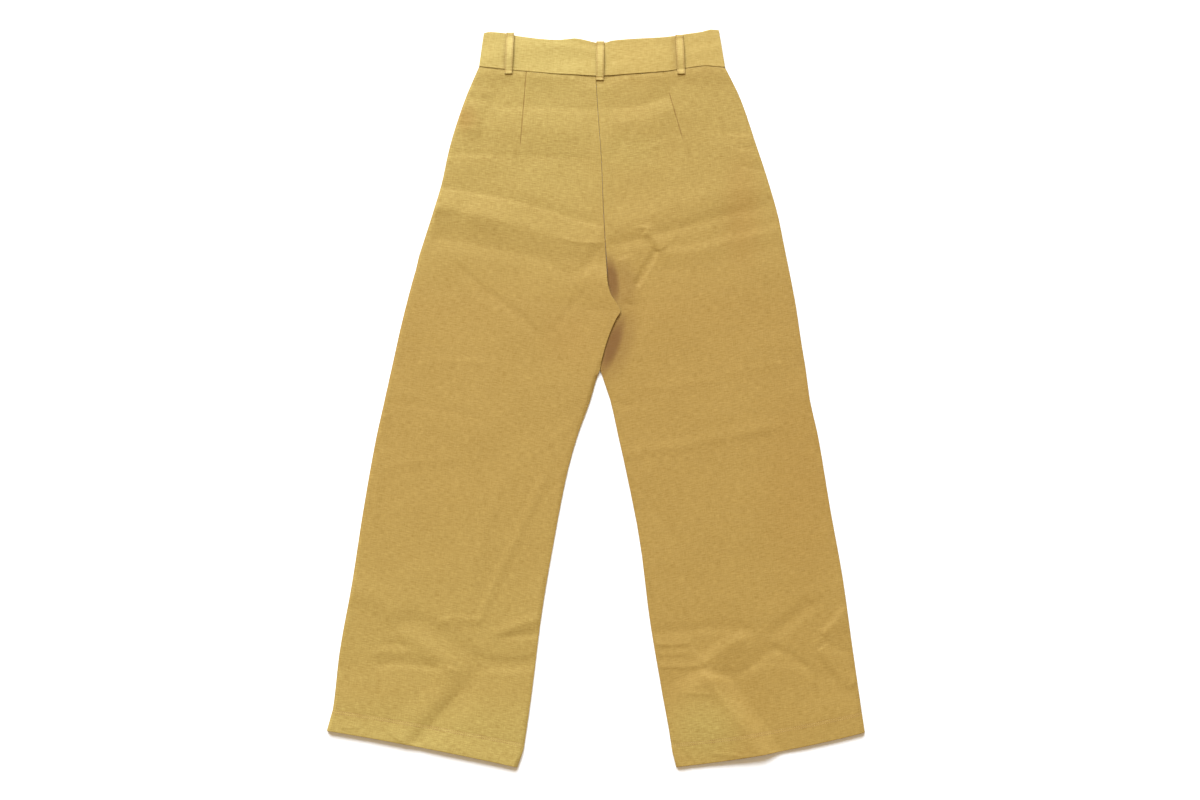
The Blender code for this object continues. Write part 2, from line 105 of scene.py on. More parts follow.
camera_data = bpy.data.cameras.new("camera")
camera_data.sensor_width = SENSOR_WIDE
camera_data.lens = SENSOR_WIDE * (CAMERA_HIGH - CLOTH_HIGH) / PHOTO_WIDE
bpy.context.scene.camera = add_object("camera", camera_data, (*LOOK_AT, CAMERA_HIGH))

bpy.ops.mesh.primitive_plane_add(size=TABLE_WIDE, location=(0.0, 0.0, 0.0))
floor = bpy.context.object
floor.name = "table_top"
paper, paper_tree, paper_shader = new_material("table_white")
fill(paper_tree, paper_shader,
     {"Base Color": TABLE_WHITE, "Roughness": 0.9, "Specular IOR Level": 0.1})
floor.data.materials.append(paper)

for lamp in LAMPS:
    light_data = bpy.data.lights.new(lamp.name, lamp.kind)
    if lamp.kind == "SUN":
        light_data.angle = lamp.size
    else:
        light_data.size = lamp.size
    light_data.energy = lamp.power
    light_data.color = lamp.colour
    light = add_object(lamp.name, light_data, (lamp.x, lamp.y, lamp.z))
    off_y = LAMPS_AIM_Y - lamp.y
    tilt = math.atan2(math.hypot(lamp.x, off_y), lamp.z)
    light.rotation_euler = (tilt, 0.0, math.atan2(lamp.x, off_y))
world = bpy.data.worlds.new("room")
world.use_nodes = True
room = world.node_tree
to_camera = add_node(room, "ShaderNodeLightPath").outputs["Is Camera Ray"]
room_colour = mixed(room, ROOM, BACKDROP, to_camera)
fill(room, room.nodes["Background"], {"Color": room_colour, "Strength": ROOM_POWER})
bpy.context.scene.world = world
bpy.context.scene.view_settings.view_transform = "Standard"

# ---------------------------------------------------------------- front panels
# The two fronts are cut in plain-weave linen and lie face down on the table, so they are
# flat and plain. They meet at the centre seam, and their hems are turned up twice.
CLOTH = 1.2
HEM_WALL = 2.0
BAND_WALL = 1.8
GAP = 0.3
SEAM = 0.35                            # the gap that is left at a sewn seam
SHELL = 1.0                            # one thickness of cloth as it is drawn here
HEM_FADE = 9.0                         # how far below its stitch line the hem is full

# One row for each station down a leg: the outer seam's point, the inner seam's point,
# how far the line between them bows upwards, and the mesh rows down to the next station.
Section = namedtuple("Section", "name out_x out_y in_x in_y bow cells")
LEFT_LEG = [Section(*row) for row in (
    ("waist", -163.7, 464.1, 0.0, 452.2, 0.0, 3),
    ("upper dart", -184.1, 416.5, 2.9, 401.5, 0.0, 5),
    ("lower dart", -204.8, 352.0, 7.9, 332.7, 0.0, 4),
    ("high hip", -216.3, 300.3, 10.1, 276.9, 0.0, 5),
    ("hip", -231.7, 249.9, 12.9, 222.0, 0.0, 4),
    ("seat", -245.5, 207.0, 15.7, 176.0, 0.0, 1),
    ("lap start", -248.0, 199.0, 16.3, 166.0, 0.0, 2),
    ("lap upper", -252.2, 181.0, 21.0, 146.3, 0.0, 1),
    ("lap shoulder", -255.0, 171.3, 28.7, 134.3, 0.0, 1),
    ("crotch point", -257.8, 161.5, 34.6, 122.5, 0.0, 1),
    ("under point", -260.6, 150.9, 28.9, 112.0, 0.0, 2),
    ("lap middle", -265.0, 134.0, 21.0, 94.5, 0.0, 2),
    ("lap lower", -270.4, 112.5, 13.3, 72.1, 0.0, 2),
    ("lap end", -275.8, 89.7, 7.3, 48.3, 0.0, 1),
    ("leg gap", -277.7, 81.0, 6.0, 41.0, 0.0, 1),
    ("gap side", -279.3, 73.6, 2.1, 31.5, 0.0, 2),
    ("high thigh", -286.4, 41.4, -7.7, -2.1, 0.0, 3),
    ("thigh", -297.6, -8.9, -25.9, -52.5, 0.0, 2),
    ("low thigh", -308.5, -58.5, -39.9, -102.9, 0.0, 3),
    ("knee", -326.3, -158.9, -59.5, -203.7, 0.0, 4),
    ("calf", -341.7, -258.4, -76.3, -304.5, 0.0, 8),
    ("ankle", -359.3, -356.5, -88.9, -405.3, 0.0, 6),
    ("hem line", -369.0, -437.0, -100.1, -484.5, 2.0, 1),
    ("hem step", -370.0, -440.5, -100.7, -488.0, 2.0, 2),
    ("hem", -377.0, -465.5, -109.9, -517.0, 2.0, 0),
)]
RIGHT_LEG = [Section(*row) for row in (
    ("waist", 181.3, 463.3, 0.3, 452.2, 0.0, 3),
    ("upper dart", 202.7, 420.0, 3.2, 401.5, 0.0, 5),
    ("lower dart", 224.7, 356.0, 8.2, 332.7, 0.0, 4),
    ("high hip", 241.5, 304.9, 10.4, 276.9, 0.0, 5),
    ("hip", 255.9, 253.9, 13.2, 222.0, 0.0, 4),
    ("seat", 264.5, 211.5, 16.0, 176.0, 0.0, 5),
    ("tucked edge", 273.1, 169.0, 14.5, 130.0, 0.0, 4),
    ("tucked end", 280.8, 127.9, 12.0, 85.0, 0.0, 4),
    ("leg gap", 286.7, 87.7, 6.3, 41.0, 0.0, 1),
    ("gap side", 288.0, 79.0, 9.1, 31.5, 0.0, 1),
    ("gap curve", 290.6, 63.1, 14.7, 14.7, 0.0, 1),
    ("high thigh", 293.4, 46.7, 20.3, -2.1, 0.0, 3),
    ("thigh", 300.3, -2.5, 31.5, -52.5, 0.0, 2),
    ("low thigh", 311.5, -52.7, 42.7, -102.9, 0.0, 3),
    ("knee", 328.3, -152.7, 62.3, -203.7, 0.0, 4),
    ("calf", 346.2, -252.3, 74.9, -304.5, 0.0, 8),
    ("ankle", 360.3, -353.1, 91.7, -405.3, 0.0, 6),
    ("hem line", 372.9, -440.0, 105.6, -484.5, -5.0, 1),
    ("hem step", 373.4, -443.5, 106.0, -488.0, -5.0, 2),
    ("hem", 377.0, -468.0, 112.7, -516.5, -5.0, 0),
)]
LAPPED = {"lap start", "lap upper", "lap shoulder", "crotch point", "under point",
          "lap middle", "lap lower", "lap end"}

# The waistband from side to side: a point on the waist seam and one on the top edge.
BandSection = namedtuple("BandSection", "name seam_x seam_y top_x top_y cells")
WAISTBAND = [BandSection(*row) for row in (
    ("left side", -163.7, 465.0, -157.0, 511.8, 1),
    ("left corner", -157.0, 464.2, -150.5, 513.6, 3),
    ("left shoulder", -134.0, 461.8, -130.0, 512.4, 2),
    ("left loop", -122.0, 460.6, -119.0, 510.2, 2),
    ("beside the left loop", -114.0, 459.9, -110.5, 508.2, 5),
    ("left hollow", -61.5, 455.2, -56.0, 502.5, 2),
    ("left back", -46.9, 454.3, -41.3, 503.2, 2),
    ("rise in the edge", -33.0, 453.7, -30.1, 504.8, 3),
    ("centre", 6.0, 451.9, 10.0, 497.6, 2),
    ("beside the centre loop", 20.0, 452.4, 21.5, 501.5, 2),
    ("right back", 44.0, 454.3, 44.1, 503.6, 4),
    ("right inner", 97.0, 458.2, 95.0, 506.3, 3),
    ("right loop", 132.3, 463.6, 128.0, 511.0, 3),
    ("right shoulder", 156.0, 466.2, 149.0, 514.0, 2),
    ("right crest", 166.0, 465.3, 161.0, 517.2, 2),
    ("right side", 181.3, 464.2, 172.5, 516.4, 0),
)]
WAIST_Y = LEFT_LEG[0].out_y


def ease(value):
    """0 below 0, 1 above 1 and a smooth step between."""
    held = np.clip(value, 0.0, 1.0)
    return held * held * (3.0 - 2.0 * held)


def cubic(knots, values, slopes, at):
    """The smooth curve that has these values and slopes at its knots."""
    i = np.clip(np.searchsorted(knots, at, side="right") - 1, 0, len(knots) - 2)
    step = knots[i + 1] - knots[i]
    f = (at - knots[i]) / step
    if values.ndim > 1:
        step, f = step[:, None], f[:, None]
    return (values[i] * (1 + 2 * f) * (1 - f) ** 2 + step * slopes[i] * f * (1 - f) ** 2
            + values[i + 1] * f * f * (3 - 2 * f) - step * slopes[i + 1] * f * f * (1 - f))


def through(knots, values, at):
    """A smooth curve through the values, without overshoot between two of them."""
    knots = np.asarray(knots, float)
    values = np.asarray(values, float)
    rate = np.diff(values) / np.diff(knots)
    slope = np.zeros_like(values)
    for i in range(1, len(values) - 1):
        if rate[i - 1] * rate[i] > 0:
            slope[i] = 2.0 / (1.0 / rate[i - 1] + 1.0 / rate[i])
    slope[0], slope[-1] = rate[0], rate[-1]
    return cubic(knots, values, slope, np.asarray(at, float))


def row_named(sections, name):
    return next(section for section in sections if section.name == name)


def column(sections, field):
    return [getattr(section, field) for section in sections]


def knots_along(sections):
    """The length along a table's middle line at each of its rows."""
    middle = [((a[1] + a[3]) / 2, (a[2] + a[4]) / 2) for a in sections]
    knots = [0.0]
    for (xa, ya), (xb, yb) in zip(middle, middle[1:]):
        knots.append(knots[-1] + math.hypot(xb - xa, yb - ya))
    return knots


def at_rows(sections, rows, fields):
    """These fields of a table at each length along it, every one as a column of numbers."""
    knots = knots_along(sections)
    return [through(knots, column(sections, field), rows)[:, None] for field in fields.split()]


EDGE_STEPS = np.array([0.0, 0.12, 0.35, 0.7, 1.3])      # where mesh lines run beside an edge
EDGE_END = EDGE_STEPS[-1]
LINE_STEPS = np.array([-2.6, -1.5, -0.8, -0.35, 0.0, 0.35, 0.8, 1.5, 2.6])      # and beside a dart
LEAST_STEP = 0.4
CROWDING = 0.35                        # how much closer a panel's columns lie near its edges
WAIST_FIT = 70.0                       # how far down a panel bends to the band's own seam line


def places_along(sections, finer):
    """Places of all mesh rows, closest together at both ends so that an edge can round."""
    knots = knots_along(sections)
    rows = []
    for section, low, high in zip(sections, knots, knots[1:]):
        count = max(1, round(section.cells * finer))
        rows.extend(low + (high - low) * k / count for k in range(count))
    rows = np.array(rows + [knots[-1]])
    clear = EDGE_END + LEAST_STEP
    inner = rows[(rows > rows[0] + clear) & (rows < rows[-1] - clear)]
    return np.concatenate([rows[0] + EDGE_STEPS, inner, (rows[-1] - EDGE_STEPS)[::-1]])


def with_edges(width, body):
    """Places across rows of that width: the body's own, and close ones at both edges."""
    near = np.broadcast_to(EDGE_STEPS, (len(width), len(EDGE_STEPS)))
    return np.concatenate([near, body, (width - EDGE_STEPS)[:, ::-1]], axis=1)


def leg_grid(sections, finer, count, guide=None):
    """Points of a leg panel, how far each lies from its edges, and its weave's UVs."""
    rows = places_along(sections, finer)
    out_x, out_y, in_x, in_y, bow = at_rows(sections, rows, "out_x out_y in_x in_y bow")
    width = np.hypot(in_x - out_x, in_y - out_y)
    if guide is None:
        even = np.linspace(0.0, 1.0, count + 1)[1:-1]
        even = even - CROWDING * np.sin(2 * math.pi * even) / (2 * math.pi)
        body = EDGE_END + (width - 2 * EDGE_END) * even
    else:
        spot = guide(rows)[:, None]
        low = round(count * float(np.mean(spot / width)))
        before = np.linspace(0.0, 1.0, low + 1)[1:-1]
        after = np.linspace(0.0, 1.0, count - low + 1)[1:-1]
        left = EDGE_END + (spot + LINE_STEPS[0] - EDGE_END) * before
        start = spot + LINE_STEPS[-1]
        right = start + (width - EDGE_END - start) * after
        body = np.concatenate([left, spot + LINE_STEPS, right], axis=1)
    across = with_edges(width, body)
    u = across / width
    x = out_x + (in_x - out_x) * u
    y = out_y + (in_y - out_y) * u + 4 * bow * u * (1 - u)
    straight = out_y[0] + (in_y[0] - out_y[0]) * u
    fade = 1 - ease((rows[:, None] - rows[0]) / WAIST_FIT)
    y = y + (waist_seam(x[:1]) - SEAM - straight) * fade
    from_ends = np.minimum(rows - rows[0], rows[-1] - rows)[:, None]
    border = np.minimum(np.minimum(across, width - across), from_ends)
    uv = np.stack([across - width / 2, np.broadcast_to(-rows[:, None], across.shape)], axis=-1)
    return x, y, border, uv


def seam_line(sections, point):
    """One seam of a leg ("out" or "in") as x for a given y."""
    rows = np.linspace(0.0, knots_along(sections)[-1], 900)
    x, y = [values[:, 0] for values in at_rows(sections, rows, f"{point}_x {point}_y")]
    order = np.argsort(y)
    return lambda at: np.interp(at, y[order], x[order])


OUTER = {"left": seam_line(LEFT_LEG, "out"), "right": seam_line(RIGHT_LEG, "out")}
INNER = {"left": seam_line(LEFT_LEG, "in"), "right": seam_line(RIGHT_LEG, "in")}
LEG = {"left": LEFT_LEG, "right": RIGHT_LEG}
SIGN = {"left": -1.0, "right": 1.0}


def band_line(x, line):
    """A line of the waistband, "seam" or "top", as y for a given x, held level past its ends."""
    knots = column(WAISTBAND, line + "_x")
    return through(knots, column(WAISTBAND, line + "_y"), np.clip(x, knots[0], knots[-1]))


def waist_seam(x):
    return band_line(x, "seam")


def band_edge(x):
    return band_line(x, "top")


def from_inner(side, x, y):
    """Distance from a leg's inner seam, out into the leg."""
    return SIGN[side] * (x - INNER[side](y))


def hem_point(side, along, above=0.0):
    """A point of the hem's stitch line, a share of the way from the outer seam to the inner."""
    line = row_named(LEG[side], "hem line")
    x = line.out_x + (line.in_x - line.out_x) * along
    y = line.out_y + (line.in_y - line.out_y) * along + 4 * line.bow * along * (1 - along)
    return x, y + above


def above_hem_line(side, x, y):
    """Distance above the hem's stitch line, below it negative."""
    line = row_named(LEG[side], "hem line")
    return y - hem_point(side, (x - line.out_x) / (line.in_x - line.out_x))[1]


def hem_extra(side, x, y):
    """How much thicker the turned hem is than the plain panel."""
    return (HEM_WALL - CLOTH) * ease(-above_hem_line(side, x, y) / HEM_FADE)


def plain_edge(sections):
    """A leg table whose lapped stations follow the plain centre line instead."""
    upper = row_named(sections, "seat")
    lower = row_named(sections, "leg gap")
    rows = []
    for section in sections:
        if section.name in LAPPED:
            share = (section.in_y - lower.in_y) / (upper.in_y - lower.in_y)
            edge = lower.in_x + (upper.in_x - lower.in_x) * share
            clear = float(INNER["right"](section.in_y)) - SEAM
            section = section._replace(in_x=min(edge, clear))
        rows.append(section)
    return rows


# Painted light: how much paler the linen is painted at each height, on the left leg and on the
# right, where more light falls on it.
Fade = namedtuple("Fade", "name y left right")
PAINTED_LIGHT_LEVELS = [
    Fade("hem", -470.0, 1.35, 0.2),
    Fade("ankle", -410.0, 0.7, 0.1),
    Fade("shin", -330.0, 0.65, 0.05),
    Fade("low knee", -220.0, 0.35, 0.05),
    Fade("knee", -120.0, 0.18, 0.0),
    Fade("thigh", 130.0, 0.15, -0.05),
    Fade("hip", 300.0, 1.0, 0.6),
    Fade("waist", 430.0, 1.25, 0.85),
    Fade("band", 470.0, 1.2, 0.55),
]
# Patches of painted light (more above 0) and painted shade (more below 0): each named, with its
# middle, half its width and length, and how much.
PaintedPatch = namedtuple("PaintedPatch", "name x y wide long more")
PAINTED_LIGHT_PATCHES = [
    PaintedPatch("inner side of the right cuff", 150.0, -465.0, 75.0, 75.0, 1.0),
    PaintedPatch("inner side of the left thigh", -40.0, 84.0, 55.0, 60.0, -0.25),
    PaintedPatch("outer side of the right shin", 290.0, -120.0, 95.0, 220.0, -0.25),
    PaintedPatch("outer side of the right hip", 205.0, 270.0, 40.0, 120.0, -0.55),
    PaintedPatch("puckers at the left side", -184.0, 394.0, 28.0, 28.0, -1.1),
    PaintedPatch("right yoke", 50.0, 345.0, 60.0, 40.0, 0.35),
]
HEM_MARK = 100.0                       # what above_hem holds on a hem's stitch line
HEM_ROWS = (0.0, -3.0)                 # the twin rows, on that line and below it
BLEND_WIDE = 120.0                     # how wide the two legs' painted light blends
ROUND_OFF = 0.46                       # the part of a wall that each edge's rounding takes


def painted_light(x, y):
    """How much painted light pales the linen (painted shade where below 0), on the left leg and the
    right, blended between, and in patches.
    """
    levels = column(PAINTED_LIGHT_LEVELS, "y")
    share = ease(x / BLEND_WIDE + 0.5)
    total = ((1 - share) * np.interp(y, levels, column(PAINTED_LIGHT_LEVELS, "left"))
             + share * np.interp(y, levels, column(PAINTED_LIGHT_LEVELS, "right")))
    for patch in PAINTED_LIGHT_PATCHES:
        away = ((x - patch.x) / patch.wide) ** 2 + ((y - patch.y) / patch.long) ** 2
        total = total + patch.more * np.clip(1 - away, 0.0, 1.0) ** 2
    return total


def quads(cells):
    """The faces of a grid of points."""
    corners = cells[:-1, :-1], cells[1:, :-1], cells[1:, 1:], cells[:-1, 1:]
    return np.stack([corner.ravel() for corner in corners], 1)


def rim(cells):
    """The points round a grid, in order."""
    sides = cells[:-1, 0], cells[-1, :-1], cells[:0:-1, -1], cells[0, :0:-1]
    return np.concatenate(sides).tolist()


def every_second(count):
    return sorted(set(range(0, count, 2)) | {count - 1})


def cloth_wall(name, x, y, top, bottom, border, uv, material, shade=None, turn_up=None):
    """A closed wall of cloth with rounded edges between two faces, coarser underneath.

    Its weave's UVs are in metres, its shade says how much painted shade each point gets, and each
    point also carries how much painted light pales it."""
    round_off = (top - bottom) * ROUND_OFF
    near = np.clip(border / round_off, 0.0, 1.0)
    pinch = round_off * (1 - np.sqrt(1 - (1 - near) ** 2))
    low = np.ix_(every_second(x.shape[0]), every_second(x.shape[1]))

    def both(values, size=1):
        return np.concatenate([values.reshape(-1, size), values[low].reshape(-1, size)])

    points = np.concatenate([np.stack([x, y, top - pinch], -1).reshape(-1, 3),
                             np.stack([x, y, bottom + pinch], -1)[low].reshape(-1, 3)]) * MM
    grid = np.arange(x.size).reshape(x.shape)
    low_grid = x.size + np.arange(x[low].size).reshape(x[low].shape)
    faces = quads(grid).tolist() + quads(low_grid)[:, ::-1].tolist()
    low_rim, high_rim = rim(low_grid), rim(grid)
    twin = {int(a): int(b) for a, b in zip(low_grid.ravel(), grid[low].ravel())}
    spot = {vertex: i for i, vertex in enumerate(high_rim)}
    for vertex, after in zip(low_rim, low_rim[1:] + low_rim[:1]):
        start, stop = spot[twin[vertex]], spot[twin[after]]
        if stop < start:
            stop += len(high_rim)
        between = [high_rim[k % len(high_rim)] for k in range(start, stop + 1)]
        faces.append(between[::-1] + [vertex, after])
    a, b, d = points[grid[0, 0]], points[grid[1, 0]], points[grid[0, 1]]
    if np.cross(b - a, d - a)[2] < 0:
        faces = [face[::-1] for face in faces]
    mesh = bpy.data.meshes.new(name)
    mesh.from_pydata(points.tolist(), [], faces)
    mesh.shade_smooth()
    picked = np.empty(len(mesh.loops), int)
    mesh.loops.foreach_get("vertex_index", picked)
    mesh.uv_layers.new(name="weave").data.foreach_set("uv", (both(uv, 2) * MM)[picked].ravel())
    marks = {"shade": np.zeros_like(x) if shade is None else np.broadcast_to(shade, x.shape),
             "painted_light": painted_light(x, y)}
    if turn_up is not None:
        marks["above_hem"] = turn_up + HEM_MARK
    for label, values in marks.items():
        mesh.attributes.new(label, "FLOAT", "POINT").data.foreach_set("value", both(values).ravel())
    mesh.materials.append(material)
    return add_object(name, mesh)


def node_group(name, kind, inputs, outputs):
    """A new node group with these sockets: its tree, its given values and its result."""
    tree = bpy.data.node_groups.new(name, kind)
    for way, sockets in (("INPUT", inputs), ("OUTPUT", outputs)):
        for label, form, *value in sockets:
            made = tree.interface.new_socket(label, in_out=way, socket_type="NodeSocket" + form)
            if value:
                made.default_value = value[0]
    return tree, tree.nodes.new("NodeGroupInput").outputs, tree.nodes.new("NodeGroupOutput")


def math_node(tree, operation, *values):
    """A Math node's result from numbers or other nodes' outputs."""
    return add_node(tree, "ShaderNodeMath", dict(enumerate(values)), operation=operation).outputs[0]


def noise_node(tree, vector, stretch, scale, detail):
    """Noise on a vector that is first stretched along its axes."""
    mapping = add_node(tree, "ShaderNodeMapping", {"Vector": vector, "Scale": stretch})
    return add_node(tree, "ShaderNodeTexNoise",
                    {"Vector": mapping.outputs[0], "Scale": scale, "Detail": detail}).outputs[0]


# How finely the yarns vary along and across, and their share in the tone and in the height.
Yarn = namedtuple("Yarn", "name stretch detail tone height")
YARNS = [
    Yarn("weft", (110.0, 860.0, 1.0), 3.0, 1.02, 0.8),
    Yarn("warp", (860.0, 90.0, 1.0), 2.0, 0.50, 0.4),
    Yarn("slubs", (28.0, 460.0, 1.0), 2.0, 0.18, 0.0),
    Yarn("blots", (14.0, 14.0, 1.0), 4.0, 0.14, 0.0),
]
THREAD_SWAY = 0.004
MEAN_GAP = 1.27                        # the mean of two threads' waves, added


def linen_weave():
    """Plain weave with uneven threads: how light each spot is, and how high it stands."""
    tree, given, result = node_group(
        "linen_weave", "ShaderNodeTree",
        [("Weave", "Vector"), ("Thread", "Float", 0.00062), ("Slub", "Float", 1.0)],
        [("Tone", "Float"), ("Height", "Float")])

    def maths(*task):
        return math_node(tree, *task)

    split = add_node(tree, "ShaderNodeSeparateXYZ", {0: given["Weave"]})
    bend = noise_node(tree, given["Weave"], (1, 1, 1), 60.0, 2.0)
    sway = maths("MULTIPLY", maths("SUBTRACT", bend, 0.5), THREAD_SWAY)
    waves = []
    for axis in (0, 1):
        turn = maths("DIVIDE", maths("ADD", split.outputs[axis], sway), given["Thread"])
        waves.append(maths("SINE", maths("MULTIPLY", turn, math.pi)))
    gaps = maths("ADD", *[maths("ABSOLUTE", wave) for wave in waves])
    tone = 1.0
    height = maths("MULTIPLY_ADD", maths("MULTIPLY", *waves), 0.25, maths("MULTIPLY", gaps, 0.35))
    for yarn in YARNS:
        noise = noise_node(tree, given["Weave"], yarn.stretch, 1.0, yarn.detail)
        away = maths("MULTIPLY", maths("SUBTRACT", noise, 0.5), yarn.tone)
        tone = maths("MULTIPLY_ADD", away, given["Slub"], tone)
        if yarn.height:
            height = maths("MULTIPLY_ADD", noise, yarn.height, height)
    tone = maths("MULTIPLY_ADD", maths("SUBTRACT", gaps, MEAN_GAP), 0.07, tone)
    fill(tree, result, {"Tone": tone, "Height": height})
    return tree


WEAVE = linen_weave()


PAINTED_LIGHT_TINT = (1.09, 1.22, 1.42)              # painted light's pale linen, as parts of the linen's own colour
GAPS = (0.66, 0.58, 0.23)              # between its threads
PAINTED_SHADE_TINT = (0.42, 0.25, 0.08)              # painted shade in seams, hollows, beside loops and along the hem's rows
HEM_DARK = 0.85


def linen(name, colour, slub=1.0, depth=0.00030):
    """Matte mustard linen, darker in its thread gaps, paler or darker by painted light, with
    painted shade in its seams, hollows and the hem's rows.
    """
    material, tree, shader = new_material(name)

    def maths(*task):
        return math_node(tree, *task)

    def mark(label):
        return add_node(tree, "ShaderNodeAttribute", attribute_name=label).outputs["Fac"]

    def tinted(tint):
        return tuple(part * more for part, more in zip(colour, tint))

    weave = add_node(tree, "ShaderNodeUVMap", uv_map="weave").outputs[0]
    group = add_node(tree, "ShaderNodeGroup", node_tree=WEAVE)
    fill(tree, group, {"Slub": slub, "Weave": weave})
    # Painted light: the linen is painted paler where more light falls, and darker in painted shade
    # patches.
    ground = mixed(tree, colour, tinted(PAINTED_LIGHT_TINT), mark("painted_light"), clamped=False)
    share = maths("MULTIPLY_ADD", maths("SUBTRACT", group.outputs["Tone"], 1.0), 1.6, 1.0)
    woven = mixed(tree, tinted(GAPS), ground, share, clamped=False)
    uneven = noise_node(tree, weave, (1.0, 1.0, 1.0), 45.0, 1.0)
    uneven = maths("MULTIPLY_ADD", uneven, 1.6, -0.35)
    # Painted shade along the hem's twin stitch rows, where the stitches sink into the cloth.
    above = mark("above_hem")
    dark = mark("shade")
    for row in HEM_ROWS:
        away = maths("ABSOLUTE", maths("SUBTRACT", above, HEM_MARK + row))
        line = maths("MAXIMUM", maths("SUBTRACT", 1.0, away), 0.0)
        dark = maths("MULTIPLY_ADD", maths("MULTIPLY", line, uneven), HEM_DARK, dark)
    bump = add_node(tree, "ShaderNodeBump",
                    {"Distance": depth, "Strength": 0.8, "Height": group.outputs["Height"]})
    fill(tree, shader, {
        # Painted shade: seams, hollows, loop shadows and the hem's rows mixed towards the dark
        # tint.
        "Base Color": mixed(tree, woven, tinted(PAINTED_SHADE_TINT), dark, clamped=False),
        "Roughness": maths("MULTIPLY_ADD", group.outputs["Tone"], -0.15, 0.80),
        "Specular IOR Level": 0.45,
        "Sheen Weight": 0.10,
        "Sheen Roughness": 0.45,
        "Sheen Tint": (1.0, 0.93, 0.75, 1.0),
        "Normal": bump.outputs[0],
    })
    return material


LINEN = linen("mustard_linen", (0.352, 0.213, 0.040), slub=1.25)
UNDERSIDE = 0.12                       # how high the fronts' underside lies
UNDER_GROOVE = 0.25                    # how deep the hem's stitches sink in it
UNDER_GROOVE_HALF = 1.6                # half that groove's width

for side in ("left", "right"):
    sections = plain_edge(LEG[side]) if side == "left" else LEG[side]
    x, y, border, uv = leg_grid(sections, 1.5, 26)
    wall = CLOTH + hem_extra(side, x, y)
    from_row = above_hem_line(side, x, y) / UNDER_GROOVE_HALF
    under = UNDERSIDE + UNDER_GROOVE * np.clip(1 - from_row ** 2, 0, 1)
    front = cloth_wall("linen_front_" + side, x, y, wall, under, border, uv, LINEN)
    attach(front, "root")
    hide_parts("front_" + side)

# ---------------------------------------------------------------- back panels
# The two backs are the same linen, each with one dart from the waist, joined down the
# centre back. The left leg's crotch point laps over the right leg, and both are creased.
LOFT = 1.2
WAIST_LOFT = 0.9
HEM_RISE = {"left": 1.8, "right": 0.2}
EDGE_ROLL = 4.0
ZIP_WALL = 1.0
ZIP_WIDTH = 11.0
ZIP_END_Y = 278.0
LOOP_WIDTH = 11.0
FLAT_LOOP = 1.2
LOOP_BESIDE = 2.0                      # how far beside a front loop its lift begins to fall
LOOP_SLOPE = 18.0
FRONT_LOOPS = {"loop_front_left": -82.0, "loop_front_right": 88.0}
LAP_TOP_Y = 175.0
LAP_LOW_Y = 41.0
LAP_RISE = 1.2
LAP_HOLD = 14.0
LAP_SLOPE = 46.0
WAIST_SPREAD = 46.0
HEM_DEEP = 28.0
HEM_RUN = 70.0                         # how far above a hem the cloth begins to rise to it
SEWN_FROM_Y = 172.0                    # above it the centre-back seam is sewn
FREE_BELOW = {"left": 34.0, "right": SEWN_FROM_Y}
FREE_OVER = {"left": 26.0, "right": 16.0}
SOFTNESS = 0.25                        # how gently a crease settles on what lies under it
HEM_GROOVE = 0.15
HEM_GROOVE_HALF = 1.8
WAIST_DIP = 0.6                        # how deep the panels dip under the band's edge
WAIST_DIP_REACH = 7.0
FULL_LOFT_BELOW = 440.0
LOFT_OVER = 60.0
DART_LOW_Y = 320.0                     # below both darts
DART_FADE = 12.0
FULLNESS = 0.35                        # how high the cloth stands at a dart's point
FULLNESS_LONG = 16.0
FULLNESS_WIDE = 11.0
ZIP_TAIL = 24.0                        # how far below the tape's end its lift ends
ZIP_TAIL_FADE = 18.0
ZIP_BESIDE = 6.0                       # how far beside the tape its lift begins to fall
ZIP_BESIDE_FADE = 30.0
BAND_ROOM_Y = 438.0                    # from here up the backs make room for the thicker band
BAND_ROOM_OVER = 16.0
TURNING_WIDE = 11.5                    # the centre-back seam's turnings under the right back
TURNING_RISE = 0.45
TURNING_STEP = 2.5
TURNING_LOW_Y = 168.0
TURNING_FADE = 30.0
LAP_START = 24.0                       # how far above the lap its lift starts, and over what
LAP_START_OVER = 26.0
LAP_TAIL = 100.0                       # how far below the lap its lift dies away
LAP_CLEAR = 14.0                       # how far inside the right leg's edge the lap is kept clear

Swell = namedtuple("Swell", "name x rise half")
BAND_SWELLS = [
    Swell("left of the centre loop", -46.0, 1.1, 40.0),
    Swell("right of the centre loop", 58.0, 0.9, 42.0),
    Swell("by the right side", 142.0, 0.5, 26.0),
]

